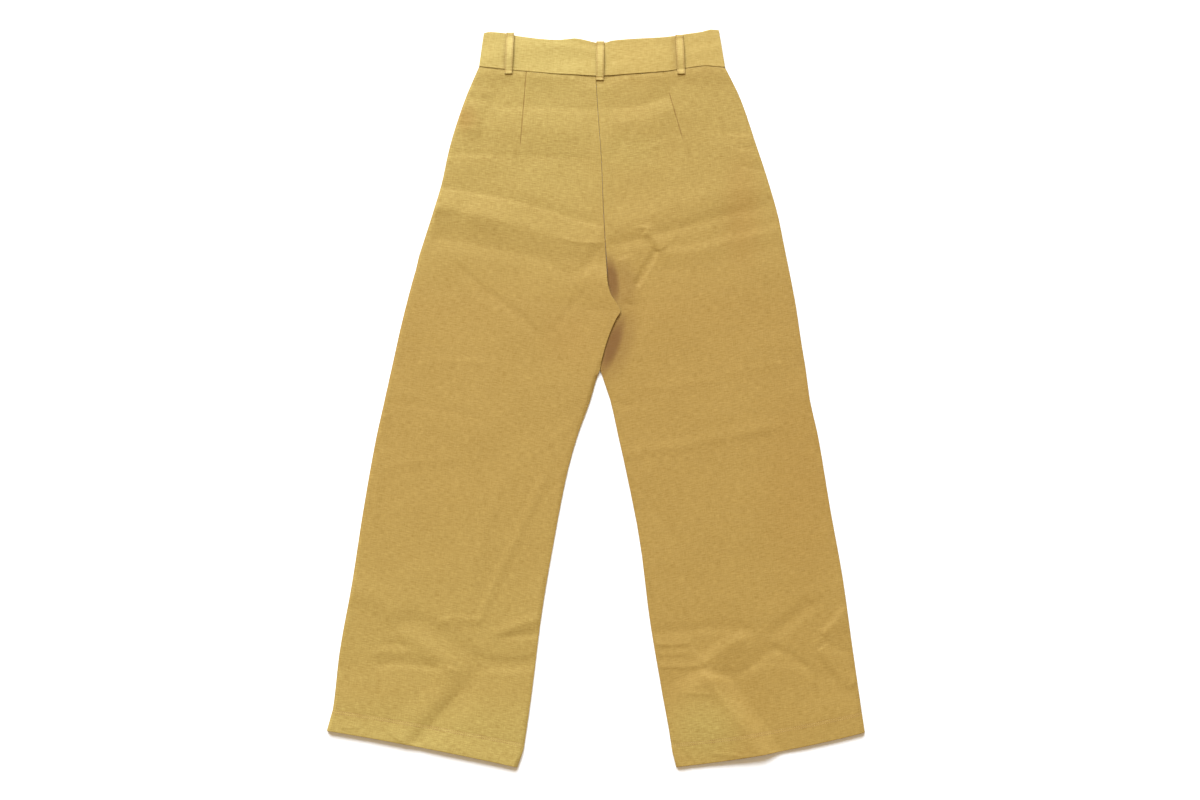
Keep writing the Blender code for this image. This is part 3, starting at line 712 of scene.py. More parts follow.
# Creases as they lie in the cloth, on a grid of 1.4 mm steps counted right and down from a
# corner off the waistband's left end: the rise (a trough is negative), the width of its
# slope on the left of the line's way and on the right, how sharp it is, the lengths over
# which it starts and ends, and the line's points, steps right and steps down in turn.
STEP = 1.4
CORNER = (-833.7, 557.9)
Crease = namedtuple("Crease", "name rise left right sharp start end path")
CREASES = [Crease(*row) for row in (
    ("under the band", 0.7, 12, 14, 0.2, 14, 14, (574, 86, 600, 88, 626, 84)),
    ("left yoke ridge", 1.2, 40, 30, 0.4, 14, 16,
     (462, 125, 490, 127, 530, 129, 562, 131, 592, 134)),
    ("left yoke line", -0.45, 9, 9, 0.6, 16, 10, (498, 106, 530, 107, 566, 108, 596, 110)),
    ("dart point line", -0.55, 8, 24, 0.8, 6, 20,
     (452, 155, 486, 155, 519, 155, 545, 156, 568, 157, 588, 159)),
    ("left side ridge", 0.8, 9, 30, 0.5, 3, 10, (447, 158, 470, 158, 494, 159)),
    ("left pucker one", 0.7, 8, 34, 0.6, 3, 10, (455, 105, 471, 105, 488, 107)),
    ("left pucker two", 0.4, 3, 4, 0.8, 3, 8, (455, 121, 468, 121, 484, 122)),
    ("left pucker three", 0.5, 5, 9, 0.7, 3, 10, (453, 128, 466, 128, 480, 130)),
    ("left brow", 0.5, 8, 10, 0.4, 4, 8, (468, 90, 482, 92, 492, 94)),
    ("left hip trough", -0.6, 16, 6, 0.7, 2, 3,
     (440, 186, 460, 190, 482, 194, 505, 198, 524, 203, 545, 209, 562, 215, 578, 220, 602, 225)),
    ("left hip fold", 1.6, 32, 30, 0.6, 2, 3,
     (434, 208, 452, 210, 475, 215, 496, 220, 515, 225, 532, 230, 548, 235, 575, 242, 602, 244)),
    ("left hip outer fold", 1.6, 32, 36, 0.6, 2, 80,
     (434, 209, 452, 211, 475, 215, 500, 220, 528, 228)),
    ("left hip foot", -0.65, 12, 18, 0.8, 2, 3,
     (432, 239, 460, 241, 482, 246, 502, 250, 522, 254, 542, 260, 560, 269, 577, 277)),
    ("left point rise", -0.8, 13, 9, 0.7, 2, 6, (579, 274, 588, 266, 595, 254, 599, 246)),
    ("left seam wrinkle", 0.45, 4, 4, 0.8, 8, 2, (562, 238, 578, 242, 603, 242)),
    ("left thigh line", -0.7, 8, 14, 0.7, 14, 26,
     (454, 264, 468, 275, 482, 288, 496, 298, 512, 309, 527, 322, 542, 339)),
    ("left thigh partner", -0.45, 9, 8, 0.7, 16, 10, (588, 288, 572, 306, 560, 322, 549, 334)),
    ("left thigh level", 0.35, 7, 9, 0.5, 12, 12, (436, 361, 460, 361, 484, 362)),
    ("right yoke trough", -0.7, 18, 7, 0.5, 12, 8,
     (608, 108, 626, 107, 645, 104, 658, 100, 670, 95)),
    ("right yoke ridge", 1.2, 17, 32, 0.6, 12, 5,
     (608, 124, 628, 122, 645, 119, 656, 116, 665, 111, 675, 110)),
    ("right yoke valley", -0.45, 9, 9, 0.5, 8, 14, (637, 121, 628, 135, 618, 148, 612, 162)),
    ("right yoke streak", 0.35, 5, 6, 0.7, 8, 8, (638, 151, 655, 146, 669, 141)),
    ("right yoke tick", 0.3, 3, 3, 0.7, 3, 3, (649, 150, 657, 158)),
    ("right side pucker one", -0.45, 14, 4, 0.7, 10, 2, (722, 133, 736, 133, 751, 134)),
    ("right side pucker two", -0.4, 8, 4, 0.7, 8, 2, (736, 148, 746, 148, 757, 149)),
    ("right side pucker three", -0.45, 10, 6, 0.5, 10, 2, (741, 166, 752, 168, 763, 170)),
    ("right hip ridge", 0.8, 26, 28, 0.6, 10, 2,
     (612, 229, 628, 223, 645, 218, 662, 212, 682, 204, 702, 197, 722, 193, 745, 189, 768, 187)),
    ("right hip trough", -0.8, 14, 12, 0.6, 2, 110,
     (608, 246, 625, 242, 640, 239, 650, 237, 664, 232, 684, 227, 704, 221, 724, 215, 745, 211,
      772, 207)),
    ("right low ridge", 0.9, 12, 24, 0.6, 3, 2,
     (656, 254, 680, 253, 702, 250, 718, 245, 732, 241, 748, 238, 765, 233, 783, 229)),
    ("right short crest", 0.75, 3, 5, 0.8, 3, 3, (639, 227, 645, 227, 650, 228)),
    ("right fork lower", -1.6, 7, 8, 0.7, 2, 8, (656, 250, 652, 258, 647, 266, 642, 275, 635, 286)),
    ("right fork upper", 1.7, 16, 9, 0.5, 3, 3, (644, 232, 651, 237, 657, 243, 662, 250)),
    ("beside the hollow", 1.3, 22, 12, 0.3, 10, 14, (621, 256, 626, 272, 628, 288, 626, 304)),
    ("left knee line", -0.3, 14, 6, 0.6, 2, 30, (384, 402, 405, 405, 430, 409, 458, 415, 485, 423)),
    ("left shin line", 0.45, 9, 6, 0.6, 2, 20, (385, 467, 405, 464, 430, 461, 462, 459)),
    ("left kink", 0.4, 8, 10, 0.6, 2, 8, (572, 424, 561, 433, 549, 446)),
    ("left long crease", 0.9, 11, 9, 0.7, 10, 20,
     (545, 476, 532, 503, 520, 530, 505, 560, 491, 590, 479, 622)),
    ("left second long crease", 0.5, 14, 14, 0.4, 25, 25,
     (505, 478, 492, 510, 481, 545, 472, 585, 466, 618)),
    ("left outer line", 0.4, 8, 6, 0.5, 10, 40, (384, 408, 381, 440, 378, 480, 370, 530)),
    ("right knee ridge", 0.65, 14, 12, 0.8, 2, 60,
     (620, 457, 636, 453, 644, 451, 655, 449, 680, 447, 702, 441, 722, 437, 742, 433, 768, 428,
      786, 424)),
    ("right knee dent", -0.5, 10, 8, 0.3, 4, 8, (616, 400, 626, 406, 635, 404)),
    ("right long crease", -0.6, 12, 14, 0.5, 14, 16,
     (650, 505, 663, 522, 675, 545, 684, 570, 692, 598, 699, 622)),
    ("right thigh line", 0.25, 10, 8, 0.5, 20, 20, (640, 391, 680, 386, 722, 378)),
    ("right outer thigh line", 0.2, 8, 8, 0.5, 20, 10, (715, 376, 750, 369, 790, 362)),
    ("left shin brow", 1.2, 40, 24, 0.6, 2, 26, (348, 590, 368, 596, 384, 605, 402, 622)),
    ("left ankle level", -1.5, 13, 14, 0.8, 2, 2,
     (478, 662, 490, 664, 505, 665, 522, 664, 539, 661)),
    ("left ankle rise", -1.1, 18, 22, 0.5, 16, 2,
     (405, 618, 420, 624, 437, 632, 450, 641, 463, 650, 478, 662)),
    ("left ankle roof", 0.9, 18, 16, 0.4, 10, 6,
     (398, 632, 412, 640, 427, 651, 440, 661, 454, 668)),
    ("left cuff band", 1.4, 18, 28, 0.4, 4, 2, (452, 667, 446, 686, 430, 705, 414, 722, 399, 742)),
    ("left cuff band foot", -1.2, 26, 12, 0.7, 2, 2,
     (478, 663, 470, 679, 461, 692, 450, 705, 440, 716, 428, 728, 413, 744)),
    ("left ankle arc", -0.9, 16, 9, 0.8, 8, 6,
     (374, 666, 388, 664, 402, 664, 416, 665, 430, 667, 446, 668)),
    ("left ankle small trough", -0.4, 8, 6, 0.6, 8, 8, (374, 645, 392, 644, 408, 646)),
    ("left ankle small crest", 0.35, 8, 9, 0.6, 8, 8, (370, 655, 386, 652, 400, 652, 414, 652)),
    ("left inner tuck", 1.1, 13, 12, 0.7, 6, 1, (494, 637, 508, 630, 522, 624, 539, 618)),
    ("left inner tuck foot", -0.8, 9, 8, 0.7, 6, 1, (497, 637, 515, 636, 538, 634)),
    ("left shin crest", 0.6, 6, 13, 0.6, 8, 8, (438, 622, 455, 618, 468, 619, 484, 620)),
    ("left hem corner", 0.5, 4, 4, 0.6, 2, 6, (341, 727, 350, 728, 360, 725)),
    ("left cuff crest", 0.9, 38, 60, 0.3, 12, 14, (376, 694, 396, 692, 418, 691)),
    ("right ankle left ridge", 0.6, 9, 5, 0.9, 1, 2, (658, 667, 672, 667, 690, 667, 703, 665)),
    ("right ankle roof", 1.6, 15, 24, 0.7, 2, 8,
     (703, 665, 712, 658, 722, 650, 735, 642, 746, 638)),
    ("right ankle dip", -1.2, 14, 9, 0.7, 2, 2, (703, 668, 718, 674, 734, 677)),
    ("right ankle rise", -1.0, 18, 14, 0.7, 2, 8,
     (734, 677, 746, 669, 756, 661, 766, 653, 777, 646)),
    ("right cuff crest", 5.0, 28, 75, 0.75, 32, 1,
     (703, 668, 709, 680, 715, 691, 722, 701, 731, 713, 740, 725, 750, 738, 760, 752, 774, 771)),
    ("right cuff lip", 0.8, 16, 10, 0.8, 3, 24,
     (702, 666, 708, 678, 715, 690, 723, 702, 733, 715, 744, 729)),
    ("right cuff trough", -1.3, 44, 18, 0.8, 6, 1,
     (733, 674, 741, 688, 748, 700, 755, 711, 762, 722, 769, 735, 778, 752, 788, 770)),
    ("right ankle arc", 0.5, 10, 60, 0.4, 4, 6,
     (738, 676, 752, 672, 768, 669, 785, 669, 798, 673, 808, 680, 815, 687)),
    ("right ankle arc trough", -0.8, 9, 9, 0.6, 4, 8, (772, 648, 785, 653, 797, 660, 809, 669)),
    ("right shin trough", -0.6, 14, 12, 0.4, 1, 12,
     (653, 632, 675, 631, 700, 629, 720, 627, 740, 629, 756, 631)),
    ("right shin line", 0.6, 9, 4, 0.8, 1, 8, (655, 645, 672, 645, 691, 644)),
    ("right shin second line", 0.4, 6, 4, 0.6, 1, 8, (655, 654, 670, 655, 688, 653)),
    ("right calf trough", -1.1, 15, 15, 0.5, 10, 8, (768, 637, 784, 625, 799, 614, 813, 602)),
    ("right calf tick", -0.4, 4, 4, 0.6, 3, 3, (822, 596, 817, 607)),
    ("right outer wedge", 1.4, 8, 24, 0.6, 4, 1, (822, 635, 834, 624, 846, 608)),
    ("right outer facet", 1.4, 28, 12, 0.6, 3, 8,
     (820, 648, 830, 662, 838, 672, 845, 680, 854, 688)),
    ("right outer facet top", -0.4, 13, 10, 0.4, 4, 1, (817, 648, 832, 649, 848, 652)),
    ("right cuff mark", 0.5, 4, 5, 0.8, 4, 4, (686, 693, 700, 693, 714, 695)),
    ("right shin tick", -0.5, 5, 6, 0.5, 5, 6, (663, 601, 669, 612, 677, 622)),
    ("right hem wrinkle", 0.5, 5, 5, 0.6, 3, 3, (712, 753, 728, 755, 745, 757)),
    ("right hem corner", -0.5, 9, 9, 0.6, 2, 1, (673, 742, 683, 754, 693, 767)),
)]

# How high the left leg's crotch edge stands above the right leg, from its top to its end.
LapHeight = namedtuple("LapHeight", "name y rise")
LAP_HEIGHTS = [
    LapHeight("starts", 184.0, 0.0),
    LapHeight("upper hollow", 158.0, 1.9),
    LapHeight("crotch point", 122.0, 1.6),
    LapHeight("lower hollow", 84.0, 0.8),
    LapHeight("ends", -20.0, 0.0),
]
LAP_REACH = 80.0

# Each dart from the waist seam to its point, how deep it is pressed and its line's width.
Dart = namedtuple("Dart", "top_x top_y low_x low_y deep half")
DARTS = {
    "left": Dart(-97.3, 457.0, -106.1, 350.0, 0.7, 0.9),
    "right": Dart(94.5, 457.0, 123.2, 359.0, 0.6, 0.9),
}
# Painted shade where the right leg lies deep in the two hollows beside the lapped edge.
PaintedHollow = namedtuple("PaintedHollow", "name x y wide long lean dark")
PAINTED_HOLLOW_SHADES = [
    PaintedHollow("above the crotch point", 22.5, 165.0, 12.0, 34.0, 0.12, 0.80),
    PaintedHollow("below the crotch point", 23.0, 74.0, 14.0, 44.0, -0.34, 0.85),
    PaintedHollow("beside the upper one", 34.0, 160.0, 26.0, 36.0, 0.0, 0.25),
    PaintedHollow("beside the lower one", 30.0, 74.0, 24.0, 52.0, -0.3, 0.30),
]
# Gentle unevenness of washed linen all over, as many long and short waves, and more of it
# towards the waist.
RUMPLE_SEED = 11
RUMPLE_WAVES = 46
RUMPLE = 0.22
RUMPLE_LONGEST = 150.0
WAIST_RUMPLE = 0.8                     # how much more of it there is above the hips
HIPS_Y = 150.0
HIPS_OVER = 110.0
rumple_draw = np.random.default_rng(RUMPLE_SEED)
rumple_length = rumple_draw.uniform(24.0, RUMPLE_LONGEST, RUMPLE_WAVES)
rumple_way = rumple_draw.normal(0.5 * math.pi, 0.75, RUMPLE_WAVES)
rumple_phase = rumple_draw.uniform(0.0, 2 * math.pi, RUMPLE_WAVES)
rumple_share = (rumple_length / RUMPLE_LONGEST) ** 1.1


def rumple(x, y):
    total = np.zeros_like(x)
    for length, way, phase, share in zip(rumple_length, rumple_way, rumple_phase, rumple_share):
        along = x * math.cos(way) + y * math.sin(way)
        total = total + share * np.sin(2 * math.pi * along / length + phase)
    more = 1 + WAIST_RUMPLE * ease((y - HIPS_Y) / HIPS_OVER)
    return RUMPLE * total / math.sqrt(RUMPLE_WAVES / 2) * more


PATH_STEP = 6.0
LEAD = 0.3                             # the part of a crease's start that lies before its line
TIP_ROUND = 0.05                       # how blunt a sharp crease's tip is, and how steep
TIP_POWER = 1.3


def smooth_path(path):
    """Points every few millimetres along a smooth curve through a crease's points."""
    corners = np.array(CORNER) + np.reshape(path, (-1, 2)) * (STEP, -STEP)
    knots = np.concatenate([[0.0], np.cumsum(np.hypot(*np.diff(corners, axis=0).T))])
    at = np.linspace(0.0, knots[-1], max(2, int(knots[-1] / PATH_STEP) + 1))
    if len(corners) < 3:
        return np.stack([np.interp(at, knots, corners[:, i]) for i in (0, 1)], -1)
    return cubic(knots, corners, np.gradient(corners, knots, axis=0), at)


def crease_height(x, y, creases=CREASES):
    """All these creases at (x, y): bell-shaped or pointed across, dying away at both ends."""
    shape = np.shape(x)
    spots = np.stack([np.ravel(x), np.ravel(y)], -1)
    total = np.zeros(len(spots))
    for crease in creases:
        line = smooth_path(crease.path)
        widest = max(crease.left, crease.right)
        low, high = line.min(axis=0) - widest, line.max(axis=0) + widest
        near = np.flatnonzero(((spots > low) & (spots < high)).all(axis=1))
        if len(near) == 0:
            continue
        here = spots[near]
        best = np.full(len(near), 1e9)
        aside = np.zeros(len(near))
        along = np.zeros(len(near))
        gone = 0.0
        for first, second in zip(line, line[1:]):
            way = second - first
            length = float(np.hypot(*way))
            way = way / length
            to = here - first
            run = np.clip(to @ way, 0.0, length)
            off = to - run[:, None] * way
            distance = np.hypot(off[:, 0], off[:, 1])
            closer = distance < best
            best = np.where(closer, distance, best)
            side = way[0] * to[:, 1] - way[1] * to[:, 0]
            aside = np.where(closer, np.sign(side), aside)
            along = np.where(closer, gone + run, along)
            gone += length
        width = np.where(aside > 0, crease.left, crease.right)
        out = np.clip(best / width, 0.0, 1.0)
        rounded = np.sqrt(out * out + TIP_ROUND * TIP_ROUND)
        point = np.clip(1 + TIP_ROUND - rounded, 0.0, 1.0) ** TIP_POWER
        bell = (1 - crease.sharp) * (1 - out * out) ** 2 + crease.sharp * point
        start = ease(along / crease.start + LEAD)
        end = ease((gone - along) / crease.end + LEAD)
        total[near] += crease.rise * bell * start * end
    return total.reshape(shape)


def band_swell(x):
    total = np.zeros_like(x)
    for swell in BAND_SWELLS:
        total = total + swell.rise * np.clip(1 - ((x - swell.x) / swell.half) ** 2, 0, 1) ** 2
    return total


def loop_lift(x):
    """How far a flat front loop lifts the front waistband off the table."""
    total = np.zeros_like(x)
    for middle in FRONT_LOOPS.values():
        away = np.abs(x - middle) - (LOOP_WIDTH / 2 + LOOP_BESIDE)
        total = np.maximum(total, (FLAT_LOOP + GAP) * (1 - ease(away / LOOP_SLOPE)))
    return total


def zip_lift(side, x, y):
    """Room for the zip's tape between the front and the back at the left side."""
    if side != "left":
        return np.zeros_like(x)
    away = np.abs(x - OUTER["left"](np.minimum(y, WAIST_Y)))
    down = ease((y - ZIP_END_Y + ZIP_TAIL) / ZIP_TAIL_FADE)
    beside = 1 - ease((away - ZIP_WIDTH - ZIP_BESIDE) / ZIP_BESIDE_FADE)
    return (ZIP_WALL + GAP) * down * beside


def back_floor(side, x, y):
    """The lowest level that a back's underside may reach."""
    near_band = (BAND_WALL - CLOTH) * ease((y - BAND_ROOM_Y) / BAND_ROOM_OVER)
    return CLOTH + hem_extra(side, x, y) + GAP + zip_lift(side, x, y) + near_band


def lap_lift(x, y):
    """How far the left leg's crotch edge stands above the right leg."""
    from_edge = from_inner("left", x, y)
    near = 1 - ease((from_edge - LAP_HOLD) / LAP_SLOPE)
    begun = ease((LAP_TOP_Y + LAP_START - y) / LAP_START_OVER)
    left = ease((y - LAP_LOW_Y + LAP_TAIL) / LAP_TAIL)
    knots = column(LAP_HEIGHTS[::-1], "y")
    rise = through(knots, column(LAP_HEIGHTS[::-1], "rise"), np.clip(y, knots[0], knots[-1]))
    away = np.clip(from_edge / LAP_REACH, 0.0, 1.0)
    return LAP_RISE * near * begun * left + rise * (1 - away) ** 2


def dart_line(side, x, y):
    """How near a dart's pressed line a point lies, from 0 to 1, and its fullness."""
    dart = DARTS[side]
    dx, dy = dart.low_x - dart.top_x, dart.low_y - dart.top_y
    length = math.hypot(dx, dy)
    along = ((x - dart.top_x) * dx + (y - dart.top_y) * dy) / length
    aside = ((x - dart.top_x) * dy - (y - dart.top_y) * dx) / length
    held = ease((length - along) / DART_FADE)
    line = np.clip(1 - np.abs(aside) / dart.half, 0, 1) * held
    past_point = (along - length) / FULLNESS_LONG
    return line, FULLNESS * np.exp(-(past_point ** 2) - (aside / FULLNESS_WIDE) ** 2)


def seam_allowance(side, x, y):
    """The centre-back seam's turnings, pressed under the right back beside the seam."""
    if side == "left":
        return np.zeros_like(x)
    span = ease((y - TURNING_LOW_Y) / TURNING_FADE)
    under = 1 - ease((from_inner(side, x, y) - TURNING_WIDE) / TURNING_STEP)
    return TURNING_RISE * span * under


def beside_band(x, y, reach):
    """1 along the waist seam, fading over that length down the panels."""
    return 1 - ease((waist_seam(x) - y) / reach)


# Painted shade along the darts and the centre seam: partly their thread's own colour, partly the
# shadow in their grooves.
DART_DARK = 0.62
DART_DARK_BELOW = {"left": 461.0, "right": 430.0}
SEAM_DARK = 0.08                       # the centre seam's line, and how much more low down
SEAM_DARKER = 0.30
SEAM_DARKER_BELOW = 330.0
SEAM_HALF = 0.9
BAND_PAINTED_SHADOW = 0.16                       # painted shadow of the band's edge, on the panels
BAND_PAINTED_SHADOW_REACH = 2.6
HOLLOW_CORE = 0.35                     # the part of a hollow's painted shade that is darkest


def painted_seam_shade(side, x, y):
    """Painted shade along the darts and the centre-back seam (partly their thread, partly the
    shadow in them), under the band's edge and in the lap's hollows.
    """
    on_seam = np.clip(1 - from_inner(side, x, y) / SEAM_HALF, 0, 1) * ease((y - SEWN_FROM_Y) / 10.0)
    centre = on_seam * (SEAM_DARK + SEAM_DARKER * ease((SEAM_DARKER_BELOW - y) / 80.0))
    hollow = np.zeros_like(x)
    for spot in PAINTED_HOLLOW_SHADES if side == "right" else []:
        dx, dy = x - spot.x, y - spot.y
        away = np.hypot((dx + dy * spot.lean) / spot.wide, dy / spot.long)
        hollow = np.maximum(hollow, spot.dark * (1 - ease(away - HOLLOW_CORE)))
    below = ease((DART_DARK_BELOW[side] - y) / 6.0)
    dart = DART_DARK * dart_line(side, x, y)[0] * (y > DART_LOW_Y) * below
    band = BAND_PAINTED_SHADOW * beside_band(x, y, BAND_PAINTED_SHADOW_REACH)
    return np.clip(dart + centre + hollow + band, 0.0, 1.0)


def back_top(side, x, y):
    """Height of a back's outer face."""
    x = np.asarray(x, float)
    y = np.asarray(y, float)
    from_outer = SIGN[side] * (OUTER[side](y) - x)
    free = 1 - ease((y - FREE_BELOW[side]) / FREE_OVER[side])
    inner_roll = 1 - free * (1 - ease(from_inner(side, x, y) / EDGE_ROLL))
    roll = ease(from_outer / EDGE_ROLL) * inner_roll
    loft = WAIST_LOFT + (LOFT - WAIST_LOFT) * ease((FULL_LOFT_BELOW - y) / LOFT_OVER)
    above = above_hem_line(side, x, y)
    hem = hem_extra(side, x, y)
    loft = loft + HEM_RISE[side] * np.clip(-above / HEM_DEEP, 0.0, 1.0)
    loft = loft + 2 * ((HEM_WALL - CLOTH) * ease((HEM_RUN - above) / HEM_RUN) - hem)
    from_waist = beside_band(x, y, WAIST_SPREAD)
    lift = roll * (loft + crease_height(x, y) + rumple(x, y) + band_swell(x) * from_waist)
    floor = back_floor(side, x, y) + CLOTH + hem + loop_lift(x) * from_waist
    top = floor + 0.5 * (lift + np.sqrt(lift * lift + SOFTNESS * SOFTNESS)) - SOFTNESS / 2
    stitched = HEM_GROOVE * np.clip(1 - (above / HEM_GROOVE_HALF) ** 2, 0, 1)
    line, fullness = dart_line(side, x, y)
    pressed = (fullness - DARTS[side].deep * line) * (y > DART_LOW_Y)
    dips = WAIST_DIP * beside_band(x, y, WAIST_DIP_REACH)
    top = top + pressed - stitched - dips + seam_allowance(side, x, y)
    if side == "left":
        top = top + lap_lift(x, y) * inner_roll
    return top


def lapped_top(x, y):
    """The left back's outer face, kept clear of the right leg where it laps over it."""
    top = back_top("left", x, y)
    under_edge = INNER["right"](y)
    clear = back_top("right", np.maximum(x, under_edge), y) + GAP + CLOTH
    lapping = (y < LAP_TOP_Y + 2) & (y > LAP_LOW_Y - 8) & (x > under_edge - LAP_CLEAR)
    return np.where(lapping, np.maximum(top, clear), top)


def dart_guide(side):
    """A leg grid's column that follows the dart, then runs on down the leg."""
    dart = DARTS[side]
    rows = np.linspace(0.0, knots_along(LEG[side])[-1], 400)
    out_x, out_y, in_x, in_y = [
        values[:, 0] for values in at_rows(LEG[side], rows, "out_x out_y in_x in_y")]
    across_x, across_y = in_x - out_x, in_y - out_y
    dx, dy = dart.low_x - dart.top_x, dart.low_y - dart.top_y
    share = (((dart.top_x - out_x) * dy - (dart.top_y - out_y) * dx)
             / (across_x * dy - across_y * dx))
    below = out_y < dart.low_y
    share[below] = share[~below][-1]
    return lambda at: np.interp(at, rows, share * np.hypot(across_x, across_y))


for side in ("left", "right"):
    x, y, border, uv = leg_grid(LEG[side], 6.5, 104, dart_guide(side))
    top = lapped_top(x, y) if side == "left" else back_top(side, x, y)
    sewn = (y > LAP_TOP_Y + 4.0) & (from_inner(side, x, y) < 3.0)
    border = np.where(sewn, border * 3.0, border)
    wall = SHELL + hem_extra(side, x, y)
    back = cloth_wall("linen_back_" + side, x, y, top, top - wall, border, uv, LINEN,
                      painted_seam_shade(side, x, y), above_hem_line(side, x, y))
    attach(back, "root")
    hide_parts("back_" + side)

# ---------------------------------------------------------------- side zip
# The left side seam closes with a concealed zip. It is shut, so only its woven tape
# lies between the front and the back, dyed to match.
TAPE = linen("zip_tape_weave", (0.36, 0.24, 0.085), slub=0.3, depth=0.0001)
TAPE_INSET = 1.0
TAPE_COLUMNS = ZIP_WIDTH * np.array([0.0, 0.02, 0.06, 0.15, 0.5, 0.85, 0.94, 0.98, 1.0])
side_end = WAISTBAND[0]
slant = (side_end.top_x - side_end.seam_x) / (side_end.top_y - side_end.seam_y)
on_band = np.linspace(side_end.top_y - 2.0, WAIST_Y + 2.0, 14)
down = np.concatenate([on_band, np.linspace(WAIST_Y - 8.0, ZIP_END_Y, 60)])
edge = np.where(down > WAIST_Y, side_end.seam_x + (down - WAIST_Y) * slant, OUTER["left"](down))
x = edge[:, None] + TAPE_INSET + TAPE_COLUMNS
y = np.broadcast_to(down[:, None], x.shape)
low = CLOTH + GAP + (BAND_WALL - CLOTH) * ease((y - 440.0) / 14.0)
border = np.broadcast_to(np.minimum(TAPE_COLUMNS, ZIP_WIDTH - TAPE_COLUMNS), x.shape)
zip_tape = cloth_wall("zip_tape", x, y, low + ZIP_WALL, low, border, np.stack([x, y], -1), TAPE)
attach(zip_tape, "root")
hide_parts("side_zip")

# ---------------------------------------------------------------- waistband
# A straight band of the same linen, folded along its top edge over a stiffening, stitched
# on over the panels. Its front half lies underneath.
BAND_LOFT = 0.3
BAND_ROLL = 22.0
FRONT_BAND_DROP = 1.5
Loop = namedtuple("Loop", "name top_x top_y low_x low_y")
BACK_LOOPS = [
    Loop("loop_back_left", -119.7, 512.6, -122.5, 454.8),
    Loop("loop_back_centre", 6.3, 500.4, 5.6, 445.8),
    Loop("loop_back_right", 116.9, 509.4, 119.7, 454.4),
]
LOOP_SHADOW = 1.7                      # how far beside its edges a loop's painted shadow reaches on the band
SHADOW_RIGHT = 0.6                     # how far right of its right edge that shade is darkest
SHADE_LEFT = 0.28
BAND_STITCHES = 2.2                    # how far above the waist seam the band's row runs
BAND_GROOVE = 0.22
BAND_RUMPLE = (1.3, 2.0)               # how much closer rumples lie on the band, across and up
FRONT_UNDER = 0.08                     # how high the front half's underside lies
BAND_CREASES = [Crease(*row) for row in (
    ("beside the left loop", -0.6, 9, 6, 0.4, 4, 4, (499, 40, 502, 52, 503, 66)),
    ("middle swell", 0.55, 7, 24, 0.4, 8, 3, (546, 47, 568, 46, 592, 50)),
    ("first streak", -0.45, 4, 6, 0.6, 3, 6, (611, 69, 617, 61, 625, 55, 633, 50)),
    ("second streak", 0.45, 4, 7, 0.6, 3, 5, (620, 70, 629, 62, 638, 57)),
    ("tuck by the right loop", -0.9, 5, 5, 0.7, 3, 2, (661, 43, 668, 46, 673, 50)),
    ("right end swell", 0.45, 10, 16, 0.4, 4, 4, (690, 52, 706, 49, 722, 46)),
)]


def band_grid(drop, finer, count):
    """Points of the waistband, its borders and UVs, and each point's height on the band."""
    places = places_along(WAISTBAND, finer)
    seam_x, seam_y, top_x, top_y = at_rows(WAISTBAND, places, "seam_x seam_y top_x top_y")
    height = top_y - drop - seam_y
    even = np.linspace(0.0, 1.0, count + 1)[1:-1]
    up = with_edges(height, EDGE_END + (height - 2 * EDGE_END) * even)
    x = seam_x + (top_x - seam_x) * (up / height)
    from_sides = np.minimum(places - places[0], places[-1] - places)[:, None]
    border = np.minimum(np.minimum(up, height - up), from_sides)
    uv = np.stack([np.broadcast_to(places[:, None], up.shape), up], -1)
    return x, seam_y + up, border, uv, up


def band_top(x, y):
    """Height of the back waistband's outer face."""
    x = np.asarray(x, float)
    y = np.asarray(y, float)
    side = np.minimum(x - WAISTBAND[0].seam_x, WAISTBAND[-1].seam_x - x)
    under = BAND_WALL + loop_lift(x) + GAP + zip_lift("left", x, y)
    swell = BAND_LOFT + band_swell(x) + crease_height(x, y, BAND_CREASES)
    swell = swell + rumple(x * BAND_RUMPLE[0], y * BAND_RUMPLE[1])
    return under + BAND_WALL + np.maximum(ease((side + 4.0) / BAND_ROLL) * swell, 0.0)


def painted_loop_shadow(x, y):
    """Painted shadow on the band close beside the loops, most of all on their right."""
    total = np.zeros_like(x)
    for loop in BACK_LOOPS:
        slope = (loop.top_x - loop.low_x) / (loop.top_y - loop.low_y)
        from_middle = x - loop.low_x - slope * (y - loop.low_y)
        right = np.abs(from_middle - LOOP_WIDTH / 2 - SHADOW_RIGHT)
        left = np.abs(from_middle + LOOP_WIDTH / 2)
        total = total + 1 - ease(right / LOOP_SHADOW) + SHADE_LEFT * (1 - ease(left / LOOP_SHADOW))
    return total


# A lighter copy of the linen: partly the doubled band over its stiffening, partly painted light
# where the waist lies nearest the lamps.
BAND_LINEN = linen("waistband_linen", (0.430, 0.278, 0.062))
x, y, border, uv, up = band_grid(0.0, 1.2, 26)
top = band_top(x, y) - BAND_GROOVE * np.clip(1 - (up - BAND_STITCHES) ** 2, 0, 1)
back_band = cloth_wall("linen_waistband_back", x, y, top, top - BAND_WALL, border, uv, BAND_LINEN,
                       painted_loop_shadow(x, y))
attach(back_band, "root")
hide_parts("waistband_back")

x, y, border, uv, _ = band_grid(FRONT_BAND_DROP, 4.0, 14)
low = loop_lift(x)
front_band = cloth_wall("linen_waistband_front", x, y, low + BAND_WALL, low + FRONT_UNDER,
                        border, uv, LINEN)
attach(front_band, "root")
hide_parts("waistband_front")

